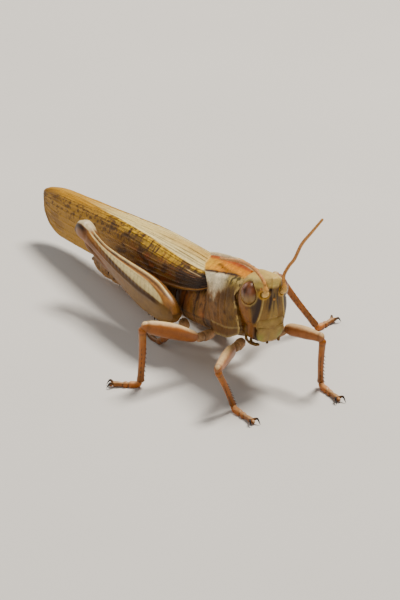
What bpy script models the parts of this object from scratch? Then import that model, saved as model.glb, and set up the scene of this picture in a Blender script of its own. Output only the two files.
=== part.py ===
"""A migratory-locust-type grasshopper as a life-size still model, standing on six feet.

The body is drawn level in its own frame, then tipped head-up on an empty, and the legs run
from it to feet laid out on the floor. Lengths are in millimetres until MM makes them metres.
X is the animal's left, Y runs back to the tail and Z is up. The origin lies on the floor
below the middle of the whole outline.
"""

import math

import bmesh
import bpy
from mathutils import Matrix, Vector

MM = 0.001
WELD = 5e-7
NAME = "grasshopper"

# Stance: the body's pitch, the height of the fore hips' plane and where the origin is,
# measured back from a point on the floor under the fore hips.
PITCH = math.radians(7.3)
HIP_HEIGHT = 6.3
ORIGIN_LEFT = 1.39
ORIGIN_BACK = 19.58

# Clearances between neighbouring pieces, and the thickness of plates and wings.
GAP = 0.12
PLATE = 0.4
WING = 0.5
LEAST_RADIUS = 0.27
MIDLINE = 0.06

# Head, by height above the hips' plane: half-width, face, back and where it is widest.
HEAD_HALF_WIDTH = (
    (2.15, 2.2), (3.0, 2.55), (4.2, 2.75), (5.5, 2.6), (6.6, 2.3), (7.5, 1.72), (8.05, 1.0), (8.3, 0.4)
)
HEAD_FACE = ((2.15, -5.1), (3.8, -5.6), (5.2, -5.9), (6.6, -6.2), (7.5, -6.55), (8.0, -6.5), (8.3, -5.7))
HEAD_BACK = ((2.15, -2.3), (4.2, -1.9), (6.0, -1.9), (7.5, -2.2), (8.3, -3.6))
HEAD_WIDEST = ((2.15, -3.7), (4.2, -3.3), (6.2, -3.2), (8.3, -4.8))
EYE_CENTRE = Vector((1.8, -3.95, 6.05))
EYE_RADII = Vector((1.15, 1.2, 1.4))
SCAPE_RADIUS = 0.38

# Antennae: the left stands up and out, the right is laid back over the head and pronotum.
LEFT_ANTENNA = (
    (1.15, -6.35, 6.1), (1.2, -6.62, 6.6), (1.15, -6.47, 7.4), (1.35, -6.25, 8.1), (1.9, -6.4, 9.0),
    (2.4, -6.9, 9.85), (3.0, -7.7, 11.65), (3.6, -9.3, 13.45), (4.2, -10.95, 15.25),
)
RIGHT_ANTENNA = (
    (-1.15, -6.35, 6.1), (-1.25, -6.62, 6.6), (-1.3, -6.45, 7.4), (-1.3, -5.95, 8.0), (-1.3, -5.1, 8.5),
    (-1.28, -4.0, 8.87), (-1.25, -2.8, 9.02), (-1.2, -1.5, 9.0), (-1.1, 0.3, 8.8), (-1.1, 2.2, 8.5),
    (-1.05, 4.3, 8.15),
)

# Pronotum. Crest and shoulder are given along the body; margins by place on the way round
# from the crest (0) over the shoulder (0.4) to the lower edge (1).
CREST_HEIGHT = ((-1.8, 8.2), (0.1, 8.38), (2.4, 8.42), (6.0, 8.15), (8.2, 7.8))
SHOULDER_OUT = ((-2.5, 2.05), (1.0, 2.35), (5.3, 2.8), (8.0, 2.9))
SHOULDER_HEIGHT = ((-2.5, 6.65), (2.0, 6.75), (5.3, 6.8), (8.0, 6.75))
LOBE_OUT = ((-2.6, 2.95), (0.5, 3.2), (3.7, 3.45))
LOBE_LOW = ((-2.5, 1.1), (-1.0, 0.4), (0.6, -0.1), (2.4, -0.12), (3.6, 0.7))
PRONOTUM_FRONT = (
    (0.0, -1.7), (0.2, -2.0), (0.42, -2.3), (0.52, -1.6), (0.66, -2.5), (0.9, -2.7), (1.0, -2.4),
)
PRONOTUM_REAR = ((0.0, 8.15), (0.2, 6.9), (0.42, 4.6), (0.55, 3.75), (0.8, 3.7), (0.93, 3.5), (1.0, 2.6))

# Trunk, along the body: half-width, top and underside.
PROTHORAX = (-1.7, 3.2)
MESOTHORAX = (3.32, 7.3)
METATHORAX = (7.42, 12.6)
TRUNK_HALF_WIDTH = (
    (-1.7, 2.2), (0.0, 2.65), (3.2, 2.7), (4.0, 3.0), (7.3, 3.25), (10.5, 3.2), (12.6, 2.85), (20.0, 2.7),
    (28.0, 2.3), (34.0, 1.7), (36.3, 1.15),
)
TRUNK_TOP = (
    (-1.7, 6.6), (0.0, 7.2), (2.4, 7.0), (3.4, 5.4), (7.3, 5.35), (12.6, 5.2), (20.0, 4.8), (28.0, 4.1),
    (34.0, 3.2), (36.3, 2.5),
)
TRUNK_UNDER = (
    (-1.7, 0.4), (0.0, -0.35), (4.0, -0.7), (8.0, -0.85), (12.6, -0.75), (20.0, -0.95), (28.0, -1.1),
    (34.0, -0.85), (36.3, 0.1),
)
ABDOMEN = (12.75, 36.3)
ABDOMEN_RINGS = 8
RING_STEP = 0.05
PLEURA_LEAN = -0.16

# Forewings (tegmina), along the body: ridge, bend and lower edge.
WING_ROOT, WING_TIP = 3.6, 49.6
FAN_ROOT, FAN_TIP = 15.0, 41.0
FAN_ROOM, FAN_LEAST = 0.18, 0.6
RIDGE_HEIGHT = ((3.6, 6.9), (8.0, 7.25), (11.0, 7.55), (15.0, 7.7), (44.0, 7.75), (48.0, 7.3), (49.6, 6.8))
BEND_OUT = ((3.6, 1.5), (9.0, 1.9), (20.0, 1.7), (30.0, 1.3), (44.0, 0.95), (49.6, 0.7))
BEND_HEIGHT = (
    (3.6, 6.1), (9.0, 6.35), (15.4, 6.85), (20.3, 7.2), (26.0, 7.4), (44.0, 7.35), (48.0, 6.95),
    (49.6, 6.5),
)
EDGE_OUT = (
    (3.6, 2.3), (4.4, 2.85), (6.0, 3.4), (12.0, 3.6), (22.0, 3.4), (32.0, 2.7), (42.0, 1.9), (49.6, 0.8),
)
EDGE_HEIGHT = (
    (3.6, 5.1), (6.0, 4.3), (10.1, 3.6), (20.0, 2.9), (32.0, 2.4), (43.0, 2.35), (46.8, 3.0), (48.9, 4.5),
    (49.6, 5.8),
)

# Right hind thigh in the body's frame, along the body: upper and lower outline and half-thickness.
THIGH_UPPER = (
    (8.6, 1.3), (9.1, 2.3), (10.4, 3.4), (12.3, 4.3), (15.0, 4.8), (20.0, 5.3), (24.2, 5.85), (26.6, 6.6),
    (28.2, 7.5), (29.4, 8.05), (30.6, 7.85), (31.5, 6.9),
)
THIGH_LOWER = (
    (8.6, 0.6), (9.2, 0.0), (10.8, -0.3), (13.9, 0.0), (17.5, 1.05), (21.1, 2.3), (27.2, 4.8), (29.4, 5.5),
    (30.9, 5.75), (31.5, 6.3),
)
THIGH_THICK = ((8.6, 0.6), (10.4, 1.1), (14.0, 1.3), (20.0, 1.05), (26.0, 0.7), (29.3, 0.9), (31.5, 0.5))
THIGH_LINE = ((8.6, 4.75), (11.5, 5.1), (16.0, 5.2))
THIGH_OUT = 5.2
THIGH_ROOT = Vector((THIGH_OUT, 8.6, 1.0))
SHIN_TOP = (4.75, 29.8, 4.8)
LEFT_THIGH_DROP = math.radians(9.0)

# Legs on the floor's frame, as left, back, up: hip, end of the hip joint, knee, ankle and toes.
LEGS = {
    ("fore", "right"): (
        (-1.7, -0.7, 5.75), (-3.0, -1.2, 5.4), (-8.45, -6.95, 6.1), (-5.7, -5.8, 0.75), (-5.6, -10.4, 0),
    ),
    ("fore", "left"): (
        (1.7, -0.9, 5.75), (3.5, -2.2, 6.85), (5.1, -7.65, 7.4), (6.25, -5.4, 0.75), (5.95, -10.1, 0),
    ),
    ("mid", "right"): (
        (-2.3, 5.0, 4.85), (-4.6, 4.5, 4.95), (-12.2, 3.6, 8.4), (-11.7, 5.1, 0.75), (-14.75, 6.9, 0),
    ),
    ("mid", "left"): (
        (2.3, 5.0, 4.85), (4.3, 5.6, 4.9), (9.2, 9.5, 8.2), (14.2, 8.7, 0.75), (17.6, 9.9, 0),
    ),
}
HIND_HIP = ((3.0, 10.3, 4.35), (3.75, 8.5, 4.75))
HIND_ANKLES = {"right": (-4.2, 10.9, 2.75), "left": (4.2, 10.4, 2.5)}
HIND_TOES = {"right": (-3.9, 17.2, 0), "left": (4.4, 16.6, 0)}
HIP_RADIUS = 0.62

# Limb sections as half-thicknesses by share of the limb's length.
THIGH_DEEP = {
    "fore": ((0, 0.5), (0.2, 0.78), (0.5, 0.78), (0.85, 0.6), (1, 0.42)),
    "mid": ((0, 0.5), (0.12, 0.72), (0.5, 0.93), (0.8, 0.82), (0.93, 0.58), (1, 0.42)),
}
THIGH_FLAT = 0.78
KNEE_GAP = 0.24
SHIN = {
    "fore": ((0, 0.36), (0.08, 0.43), (0.2, 0.4), (0.85, 0.34), (0.97, 0.38), (1, 0.33)),
    "mid": ((0, 0.42), (0.08, 0.5), (0.2, 0.46), (0.85, 0.4), (0.97, 0.42), (1, 0.36)),
    "hind": ((0, 0.42), (0.06, 0.5), (0.14, 0.38), (0.9, 0.36), (0.97, 0.42), (1, 0.34)),
}
FOOT_HALF = 0.36
LANDING = {"fore": 0.12, "mid": 0.12, "hind": 0.7}
SHIN_SPINES = 6
SPINE_LENGTH = 0.65


def smooth(stations, place):
    """Value at a place on the monotone cubic curve through (place, value) stations."""
    places = [s[0] for s in stations]
    values = [s[1] for s in stations]
    if place <= places[0]:
        return values[0]
    if place >= places[-1]:
        return values[-1]
    pairs = list(zip(stations, stations[1:]))
    rises = [(b[1] - a[1]) / (b[0] - a[0]) for a, b in pairs]
    inner = [0.0 if r * s <= 0 else 2 * r * s / (r + s) for r, s in zip(rises, rises[1:])]
    slopes = [rises[0], *inner, rises[-1]]
    k = max(i for i, p in enumerate(places[:-1]) if p <= place)
    width = places[k + 1] - places[k]
    f = (place - places[k]) / width
    start = values[k] * (1 + 2 * f) * (1 - f) ** 2 + slopes[k] * width * f * (1 - f) ** 2
    end = values[k + 1] * f * f * (3 - 2 * f) + slopes[k + 1] * width * f * f * (f - 1)
    return start + end


def route(points):
    """A smooth path through points, as a function of the share of its length."""
    run = [0.0]
    for a, b in zip(points, points[1:]):
        run.append(run[-1] + (Vector(b) - Vector(a)).length)
    axes = [[(r / run[-1], p[i]) for r, p in zip(run, points)] for i in range(3)]
    return lambda t: Vector([smooth(axis, t) for axis in axes])


def oval(turn, power=2.0):
    """Point of the unit superellipse at a share of a turn; 2 is a circle and more is boxier."""
    c, s = math.cos(2 * math.pi * turn), math.sin(2 * math.pi * turn)
    return math.copysign(abs(c) ** (2 / power), c), math.copysign(abs(s) ** (2 / power), s)


def clear_scene():
    """Remove what the scene holds."""
    for item in list(bpy.data.objects):
        bpy.data.objects.remove(item)


def collection(name):
    """A collection linked to the scene."""
    made = bpy.data.collections.new(name)
    bpy.context.scene.collection.children.link(made)
    return made


def finish(name, colour, roughness):
    """A shell material in one colour."""
    made = bpy.data.materials.new(name)
    made.use_nodes = True
    shader = made.node_tree.nodes["Principled BSDF"]
    shader.inputs["Base Color"].default_value = (*colour, 1.0)
    shader.inputs["Roughness"].default_value = roughness
    shader.inputs["Metallic"].default_value = 0.0
    return made


def empty(name, parent=None):
    """An empty that carries a group of pieces."""
    made = bpy.data.objects.new(name, None)
    made.parent = parent
    PIECES.objects.link(made)
    return made


def piece(name, mesh, material, parent, group=None):
    """A smooth-shaded object made from a bmesh."""
    data = bpy.data.meshes.new(name)
    mesh.to_mesh(data)
    mesh.free()
    made = bpy.data.objects.new(name, data)
    made.parent = parent
    if group is None:
        group = PIECES
    group.objects.link(made)
    if material is not None:
        data.materials.append(material)
    data.shade_smooth()
    data.set_sharp_from_angle(angle=math.radians(50))
    return made


def grid(rows, columns, place):
    """A mesh grid laid over place(u, v), where u and v run from 0 to 1."""
    mesh = bmesh.new()
    bmesh.ops.create_grid(mesh, x_segments=rows, y_segments=columns, size=1.0)
    for vert in mesh.verts:
        u, v = (vert.co.x + 1) / 2, (vert.co.y + 1) / 2
        vert.co = place(round(u * rows) / rows, round(v * columns) / columns) * MM
    return mesh


def closed_grid(rows, columns, place):
    """A grid whose v runs right round, welded along the seam and capped at both ends."""
    mesh = grid(rows, columns, place)
    bmesh.ops.remove_doubles(mesh, verts=mesh.verts, dist=WELD)
    rims = [edge for edge in mesh.edges if edge.is_boundary]
    bmesh.ops.holes_fill(mesh, edges=rims)
    bmesh.ops.recalc_face_normals(mesh, faces=mesh.faces)
    return mesh


def plate_grid(rows, columns, place, middle, thickness):
    """An open grid thickened towards its middle point."""
    mesh = grid(rows, columns, place)
    bmesh.ops.remove_doubles(mesh, verts=mesh.verts, dist=WELD)
    bmesh.ops.recalc_face_normals(mesh, faces=mesh.faces)
    centre = middle * MM
    outward = sum((face.calc_center_median() - centre).dot(face.normal) for face in mesh.faces)
    if outward < 0:
        bmesh.ops.reverse_faces(mesh, faces=mesh.faces)
    bmesh.ops.solidify(mesh, geom=mesh.faces[:], thickness=thickness * MM)
    bmesh.ops.recalc_face_normals(mesh, faces=mesh.faces)
    return mesh


def swept(path, half_width, half_depth, rings, sides, upright, power=2.0, floor=None):
    """A closed limb along a path, its section set by stations along it and stood on upright."""
    ahead = 0.01

    def place(u, v):
        lead = (path(min(1.0, u + ahead)) - path(max(0.0, u - ahead))).normalized()
        side = lead.cross(upright).normalized()
        up = side.cross(lead)
        c, s = oval(v, power)
        spot = path(u) + side * (smooth(half_width, u) * c) + up * (smooth(half_depth, u) * s)
        if floor is not None:
            spot.z = max(spot.z, floor)
        return spot

    return closed_grid(rings, sides, place)


def joined(name, target, extras):
    """Join the extras, each a closed body that enters it, to the target."""
    for number, extra in enumerate(extras):
        extra.hide_render = True
        extra.display_type = "WIRE"
        union = target.modifiers.new(f"{name}_{number}", "BOOLEAN")
        union.operation = "UNION"
        union.object = extra


def hollowed(target, cutter):
    """Cut a hollow in the target."""
    cutter.hide_render = True
    cutter.display_type = "WIRE"
    cut = target.modifiers.new(cutter.name, "BOOLEAN")
    cut.operation = "DIFFERENCE"
    cut.object = cutter


def ellipsoid(centre, radii, segments, rings):
    """An ellipsoid from a sphere."""
    mesh = bmesh.new()
    bmesh.ops.create_uvsphere(mesh, u_segments=segments, v_segments=rings, radius=MM)
    bmesh.ops.transform(mesh, matrix=Matrix.Diagonal((*radii, 1.0)), verts=mesh.verts)
    bmesh.ops.translate(mesh, vec=centre * MM, verts=mesh.verts)
    return mesh


def mirrored(point, side):
    """A left-hand point taken to the given side."""
    return Vector((point[0] * (1 if side == "left" else -1), point[1], point[2]))


def build_head(body, shell, eye_shell):
    """The head capsule with its two eye sockets, and the eyes in them."""

    chin, crown = HEAD_HALF_WIDTH[0][0], HEAD_HALF_WIDTH[-1][0]

    def place(u, v):
        height = chin + (crown - chin) * math.sin(u * math.pi / 2)
        c, s = oval(v, 2.3)
        widest = smooth(HEAD_WIDEST, height)
        reach = smooth(HEAD_FACE, height) - widest if s > 0 else widest - smooth(HEAD_BACK, height)
        return Vector((smooth(HEAD_HALF_WIDTH, height) * c, widest + reach * s, height))

    head = piece("head", closed_grid(11, 18, place), shell, body)
    for side in ("left", "right"):
        centre = mirrored(EYE_CENTRE, side)
        socket_radii = EYE_RADII + Vector((GAP, GAP, GAP))
        socket = piece(f"socket_{side}", ellipsoid(centre, socket_radii, 10, 8), None, body, CUTTERS)
        hollowed(head, socket)
        piece(f"eye_{side}", ellipsoid(centre, EYE_RADII, 10, 8), eye_shell, body)


def build_antenna(side, points, body, shell):
    """One antenna: a stout base and a thread, on a bevelled curve."""
    curve = bpy.data.curves.new(f"antenna_{side}", "CURVE")
    curve.dimensions = "3D"
    curve.bevel_depth = SCAPE_RADIUS * MM
    curve.bevel_resolution = 1
    curve.use_fill_caps = True
    count = 18
    path = route(points)
    spline = curve.splines.new("POLY")
    spline.points.add(count)
    for number, point in enumerate(spline.points):
        share = number / count
        point.co = (*(path(share) * MM), 1.0)
        point.radius = 1.0 if share < 0.1 else LEAST_RADIUS / SCAPE_RADIUS
    curve.materials.append(shell)
    antenna = bpy.data.objects.new(f"antenna_{side}", curve)
    antenna.parent = body
    PIECES.objects.link(antenna)


def build_mouth(body, shell):
    """Labrum in front, a mandible at each side, the labium behind and four palps."""
    back = Vector((0, 1, 0))
    lip = route([(0, -4.85, 1.83), (0, -4.25, 0.95), (0, -3.95, 0.0)])
    lip_half = ((0, 1.45), (0.35, 1.55), (0.8, 1.4), (1.0, 1.0))
    lip_thick = ((0, 0.3), (0.8, 0.3), (1.0, 0.25))
    piece("labrum", swept(lip, lip_half, lip_thick, 5, 12, back, 3.0), shell, body)
    lip = route([(0, -2.2, 1.5), (0, -2.2, 0.7), (0, -2.4, -0.1)])
    lip_half = ((0, 1.2), (0.6, 1.25), (1, 0.8))
    lip_thick = ((0, 0.3), (1, 0.27))
    piece("labium", swept(lip, lip_half, lip_thick, 4, 10, back), shell, body)
    for side in ("left", "right"):
        jaw = route([mirrored(p, side) for p in ((1.45, -3.55, 1.7), (1.4, -3.15, 1.0), (0.85, -3.0, 0.2))])
        jaw_half = ((0, 0.7), (0.5, 0.7), (1.0, 0.35))
        jaw_deep = ((0, 0.65), (0.5, 0.55), (1.0, 0.35))
        piece(f"mandible_{side}", swept(jaw, jaw_half, jaw_deep, 5, 10, back), shell, body)
        for kind, points in (
            ("maxillary", ((2.0, -2.5, 1.1), (2.1, -2.7, 0.4), (1.85, -3.3, -0.1), (1.4, -3.9, -0.25))),
            ("labial", ((0.8, -1.5, 0.3), (0.95, -1.7, -0.35), (0.8, -2.3, -0.65), (0.55, -2.8, -0.65))),
        ):
            palp = route([mirrored(p, side) for p in points])
            even = ((0, LEAST_RADIUS), (1, LEAST_RADIUS))
            piece(f"palp_{kind}_{side}", swept(palp, even, even, 5, 6, Vector((1, 0, 0.1))), shell, body)


def pronotum_point(along, across):
    """A point of the pronotum: across runs from the left lower edge over the crest to the right one."""
    side = 1 if across < 0.5 else -1
    down = abs(across - 0.5) * 2
    y = smooth(PRONOTUM_FRONT, down) * (1 - along) + smooth(PRONOTUM_REAR, down) * along
    crest, shoulder, lobe = smooth(CREST_HEIGHT, y), smooth(SHOULDER_HEIGHT, y), smooth(LOBE_OUT, y)
    out = ((0.0, 0.0), (0.08, 0.3), (0.4, smooth(SHOULDER_OUT, y)), (0.7, lobe), (1.0, lobe - 0.25))
    low = smooth(LOBE_LOW, y)
    high = ((0.0, crest), (0.08, crest - 0.3), (0.4, shoulder), (0.5, shoulder - 1.1), (1.0, low))
    return Vector((side * smooth(out, down), y, smooth(high, down)))


def build_pronotum(body, shell):
    """The saddle-shaped plate over the first trunk ring."""
    mesh = plate_grid(8, 20, pronotum_point, Vector((0, 2, 3)), PLATE)
    piece("pronotum", mesh, shell, body)


def trunk_point(span, along, around, lean=0.0):
    """A point of the trunk between two places, flat below and domed above."""
    y = span[0] + (span[1] - span[0]) * along
    c, s = oval(around, 2.4)
    top, under = smooth(TRUNK_TOP, y), smooth(TRUNK_UNDER, y)
    waist = under + (top - under) * 0.38
    height = waist + s * (top - waist if s > 0 else waist - under)
    pinch = 1.0 - 0.16 * max(0.0, s)
    return Vector((smooth(TRUNK_HALF_WIDTH, y) * c * pinch, y + lean * (height - waist), height))


def build_trunk(body, shell):
    """Three trunk rings, the last two leaning forward at the top, and the ringed abdomen."""
    for name, span in (("prothorax", PROTHORAX), ("mesothorax", MESOTHORAX), ("metathorax", METATHORAX)):

        def trunk_ring(u, v):
            lean = PLEURA_LEAN * (u if span == PROTHORAX else 1.0)
            return trunk_point(span, u, v, lean)

        piece(name, closed_grid(3, 16, trunk_ring), shell, body)

    def ring_point(u, v):
        spot = trunk_point(ABDOMEN, u, v, PLEURA_LEAN * (1 - u) ** 2)
        phase = (u * ABDOMEN_RINGS) % 1.0
        waist = Vector((0, spot.y, smooth(TRUNK_UNDER, spot.y) * 0.62 + smooth(TRUNK_TOP, spot.y) * 0.38))
        shrink = 1.0 - RING_STEP * abs(phase - 0.5) * 2 * (1 if 0 < u < 1 else 0)
        return waist + (spot - waist) * shrink

    piece("abdomen", closed_grid(2 * ABDOMEN_RINGS, 12, ring_point), shell, body)


def build_tail(body, shell):
    """The egg-laying valves and the two short cerci."""
    for name, height, tilt in (("ovipositor_upper", 1.35, 0.25), ("ovipositor_lower", 0.55, -0.3)):
        valve = route([(0, 36.42, height), (0, 37.2, height + 0.1 * tilt), (0, 38.2, height + tilt)])
        wide = ((0, 0.75), (0.6, 0.6), (1, 0.3))
        deep = ((0, 0.32), (0.6, 0.3), (1, 0.26))
        piece(name, swept(valve, wide, deep, 4, 10, Vector((0, 0, 1))), shell, body)
    for side in ("left", "right"):
        cercus = route([mirrored((0.95, 36.4, 2.1), side), mirrored((1.15, 37.4, 2.15), side)])
        taper = ((0, 0.3), (1, 0.25))
        piece(f"cercus_{side}", swept(cercus, taper, taper, 2, 8, Vector((0, 0, 1))), shell, body)


def wing_section(y):
    """Ridge, bend and lower edge of a folded forewing's section at a place, as (out, height)."""
    ridge = (MIDLINE, smooth(RIDGE_HEIGHT, y))
    bend = (smooth(BEND_OUT, y), smooth(BEND_HEIGHT, y))
    edge = (smooth(EDGE_OUT, y), smooth(EDGE_HEIGHT, y))
    belly = (bend[0] * 0.35 + edge[0] * 0.68, bend[1] * 0.62 + edge[1] * 0.38)
    return ridge, bend, belly, edge


def build_wings(body, shell, membrane):
    """Each folded forewing: a dorsal field to the bend and a steep side field, with its fan inside."""
    shares = (0.0, 0.3, 0.6, 1.0)
    for side in ("left", "right"):
        hand = mirrored((1, 0, 0), side).x

        def place(along, across):
            y = WING_ROOT + (WING_TIP - WING_ROOT) * along
            section = wing_section(y)
            out = smooth([(s, p[0]) for s, p in zip(shares, section)], across)
            height = smooth([(s, p[1]) for s, p in zip(shares, section)], across)
            return mirrored((out, y, height), side)

        def fan(along, around):
            y = FAN_ROOT + (FAN_TIP - FAN_ROOT) * along
            ridge, bend, belly, edge = wing_section(y)
            c, s = oval(around, 2.6)
            top = bend[1] - WING - GAP - FAN_ROOM
            back_top = smooth(TRUNK_TOP, y) + GAP + FAN_ROOM if y < ABDOMEN[1] else 0
            under = min(top - FAN_LEAST, max(edge[1] + FAN_ROOM, back_top))
            half = max(LEAST_RADIUS, (bend[0] - WING) / 2 - GAP)
            return mirrored((half + GAP + half * c, y, (top + under) / 2 + (top - under) / 2 * s), side)

        mesh = plate_grid(15, 7, place, mirrored((0.4, 26, 3), side), WING)
        for vert in mesh.verts:
            vert.co.x = hand * max(vert.co.x * hand, MIDLINE * MM)
        piece(f"tegmen_{side}", mesh, shell, body)
        piece(f"hindwing_{side}", closed_grid(9, 10, fan), membrane, body)


def tipped(point):
    """A point of the body's frame on the floor's frame."""
    turn = Matrix.Rotation(-PITCH, 4, "X")
    return turn @ Vector(point) + Vector((0, 0, HIP_HEIGHT))


def build_hip(pair, side, hip, end, stance, shell):
    """The short hip joint between the trunk and the thigh."""
    middle = (hip + end) / 2 - Vector((0, 0, 0.15))
    taper = ((0, 0.3), (0.25, HIP_RADIUS), (0.7, HIP_RADIUS), (1, 0.4))
    mesh = swept(route([hip, middle, end]), taper, taper, 5, 10, Vector((0, 0.2, 1)))
    piece(f"coxa_{pair}_{side}", mesh, shell, stance)


def build_foot(pair, side, ankle, toe, stance, shell):
    """A foot of three pads and two claws, flat on the floor."""
    heading = Vector((toe.x - ankle.x, toe.y - ankle.y, 0)).normalized()
    length = (toe - Vector((ankle.x, ankle.y, 0))).length
    landing = LANDING[pair]
    points = [ankle]
    for share, height in ((0.0, 0.9), (0.45, 0.9), (0.75, 1.15), (0.9, 1.15)):
        spot = ankle + heading * length * (landing + (1 - landing) * share)
        points.append(Vector((spot.x, spot.y, FOOT_HALF * height)))
    wide = (
        (0, 0.3), (0.2, 0.38), (0.42, 0.4), (0.5, 0.28), (0.58, 0.36), (0.66, 0.27), (0.9, 0.3), (1, 0.28),
    )
    deep = ((0, 0.3), (0.2, 0.4), (0.42, 0.42), (0.5, 0.36), (0.58, 0.42), (0.66, 0.36), (1, 0.34))
    mesh = swept(route(points), wide, deep, 10, 8, Vector((0, 0, 1)), 2.0, 0.0)
    foot = piece(f"tarsus_{pair}_{side}", mesh, shell, stance)
    across = heading.cross(Vector((0, 0, 1)))
    claws = []
    for number, hand in enumerate((1, -1)):
        base = points[-1] - heading * 0.25 + across * 0.12 * hand
        tip = base + heading * (length * 0.08 + 0.7) + across * 0.5 * hand
        bow = (base + tip) / 2 + Vector((0, 0, 0.28))
        claw = route([base, bow, Vector((tip.x, tip.y, 0.12))])
        taper = ((0, 0.2), (0.5, 0.17), (1, 0.06))
        mesh = swept(claw, taper, taper, 3, 5, Vector((0, 0, 1)), 2.0, 0.0)
        claws.append(piece(f"claw_{pair}_{side}_{number}", mesh, None, stance, CUTTERS))
    joined("claw", foot, claws)


def build_leg(pair, side, stance, shell):
    """A fore or middle leg from hip to toes."""
    hip, end, knee, ankle, toe = (Vector(p) for p in LEGS[pair, side])
    build_hip(pair, side, hip, end, stance, shell)
    start = end + (knee - end).normalized() * (GAP + 0.2)
    plane = Vector((0, 0, 1))
    along = (knee - start).normalized()
    deep = THIGH_DEEP[pair]
    flat = [(share, half * THIGH_FLAT) for share, half in deep]
    path = route([start, (start + knee) / 2 + plane * 0.12, knee])
    piece(f"femur_{pair}_{side}", swept(path, flat, deep, 8, 10, plane), shell, stance)
    down = (ankle - knee).normalized()
    bend = down.angle(-along)
    top = knee + down * ((deep[-1][1] + SHIN[pair][0][1] * math.cos(bend)) / math.sin(bend) + KNEE_GAP)
    foot_top = ankle - down * (0.3 + GAP)
    bow = (top + foot_top) / 2 - Vector((math.copysign(0.1, start.x), 0, 0))
    mesh = swept(route([top, bow, foot_top]), SHIN[pair], SHIN[pair], 8, 8, Vector((0, 1, 0)))
    piece(f"tibia_{pair}_{side}", mesh, shell, stance)
    build_foot(pair, side, ankle, toe, stance, shell)


def build_hind_leg(side, body, stance, shell):
    """The leaping leg: a deep thigh with its knee, a spined shin folded below it and the foot."""
    root = mirrored(THIGH_ROOT, side)
    drop = LEFT_THIGH_DROP if side == "left" else 0.0

    def thigh_point(u, v):
        share = 0.5 - 0.5 * math.cos(math.pi * u) * (0.35 + 0.65 * abs(math.cos(math.pi * u)))
        y = THIGH_UPPER[0][0] + (THIGH_UPPER[-1][0] - THIGH_UPPER[0][0]) * share
        upper, lower = smooth(THIGH_UPPER, y), smooth(THIGH_LOWER, y)
        c, s = oval(v)
        out = smooth(THIGH_LINE, y) - THIGH_OUT + smooth(THIGH_THICK, y) * c
        height = (upper + lower) / 2 + (upper - lower) / 2 * s
        return mirrored((THIGH_OUT + out, y, height), side) - root

    mesh = closed_grid(15, 12, thigh_point)
    thigh = piece(f"femur_hind_{side}", mesh, shell, body)
    thigh.location = root * MM
    thigh.rotation_euler.x = -drop
    swing = Matrix.Rotation(-drop, 4, "X")
    knee = tipped(root + swing @ (mirrored(SHIN_TOP, side) - root))
    ankle = Vector(HIND_ANKLES[side])
    build_hip("hind", side, *(mirrored(p, side) for p in HIND_HIP), stance, shell)
    along = (ankle - knee).normalized()
    end = ankle - along * 0.35 + Vector((0, 0, 0.78))
    mesh = swept(route([knee, end]), SHIN["hind"], SHIN["hind"], 10, 8, Vector((0, 0, 1)))
    shin = piece(f"tibia_hind_{side}", mesh, shell, stance)
    spines = bmesh.new()
    across = along.cross(Vector((0, 0, 1))).normalized()
    back = across.cross(along)
    for number in range(SHIN_SPINES):
        spot = knee.lerp(end, 0.3 + 0.58 * number / (SHIN_SPINES - 1))
        for hand in (1, -1):
            point = (across * 0.55 * hand - back * 0.75 + along * 0.55).normalized()
            turn = Vector((0, 0, 1)).rotation_difference(point).to_matrix().to_4x4()
            centre = spot + across * 0.16 * hand - back * 0.18 + point * SPINE_LENGTH / 2
            shift = Matrix.Translation(centre * MM) @ turn
            bmesh.ops.create_cone(
                spines, cap_ends=True, segments=4, radius1=0.17 * MM, radius2=0.04 * MM,
                depth=SPINE_LENGTH * MM, matrix=shift,
            )
    joined("spines", shin, [piece(f"spines_{side}", spines, None, stance, CUTTERS)])
    build_foot("hind", side, ankle, Vector(HIND_TOES[side]), stance, shell)


clear_scene()
PIECES = collection(NAME)
CUTTERS = collection("cutters")
STANCE = empty("stance")
STANCE.location = Vector((-ORIGIN_LEFT, -ORIGIN_BACK, 0)) * MM
BODY = empty("body_line", STANCE)
BODY.location.z = HIP_HEIGHT * MM
BODY.rotation_euler.x = -PITCH
TAN = finish("tan_shell", (0.42, 0.27, 0.11), 0.55)
HEAD_TAN = finish("olive_shell", (0.34, 0.25, 0.1), 0.5)
LEG_TAN = finish("orange_shell", (0.45, 0.2, 0.08), 0.5)
EYE_BROWN = finish("eye_brown", (0.1, 0.04, 0.02), 0.2)
WING_STRAW = finish("wing_straw", (0.55, 0.38, 0.15), 0.6)
FAN_FILM = finish("fan_film", (0.6, 0.5, 0.3), 0.6)
build_head(BODY, HEAD_TAN, EYE_BROWN)
build_antenna("left", LEFT_ANTENNA, BODY, LEG_TAN)
build_antenna("right", RIGHT_ANTENNA, BODY, LEG_TAN)
build_mouth(BODY, HEAD_TAN)
build_pronotum(BODY, TAN)
build_trunk(BODY, TAN)
build_tail(BODY, TAN)
build_wings(BODY, WING_STRAW, FAN_FILM)
for leg_pair, leg_side in LEGS:
    build_leg(leg_pair, leg_side, STANCE, LEG_TAN)
for leg_side in ("left", "right"):
    build_hind_leg(leg_side, BODY, STANCE, LEG_TAN)
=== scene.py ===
"""The finished looks of a brown grasshopper, a life-size still model on six feet.

Every shell is a fine grid laid over the same named sizes as its solid, carved along its own
normals and coloured point by point before a shell finish adds grain, pits and gloss. Sizes are
in millimetres until MM makes them metres. X is the animal's left, Y runs back to the tail and
Z is up. Body sizes are in the body's own level frame, which is then tipped head-up.
"""
from __future__ import annotations

import logging
import math
from dataclasses import dataclass, field
from enum import Enum
from functools import partial
from typing import Callable, Sequence

import bmesh
import bpy
import numpy as np
from mathutils import Matrix, Vector

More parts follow.
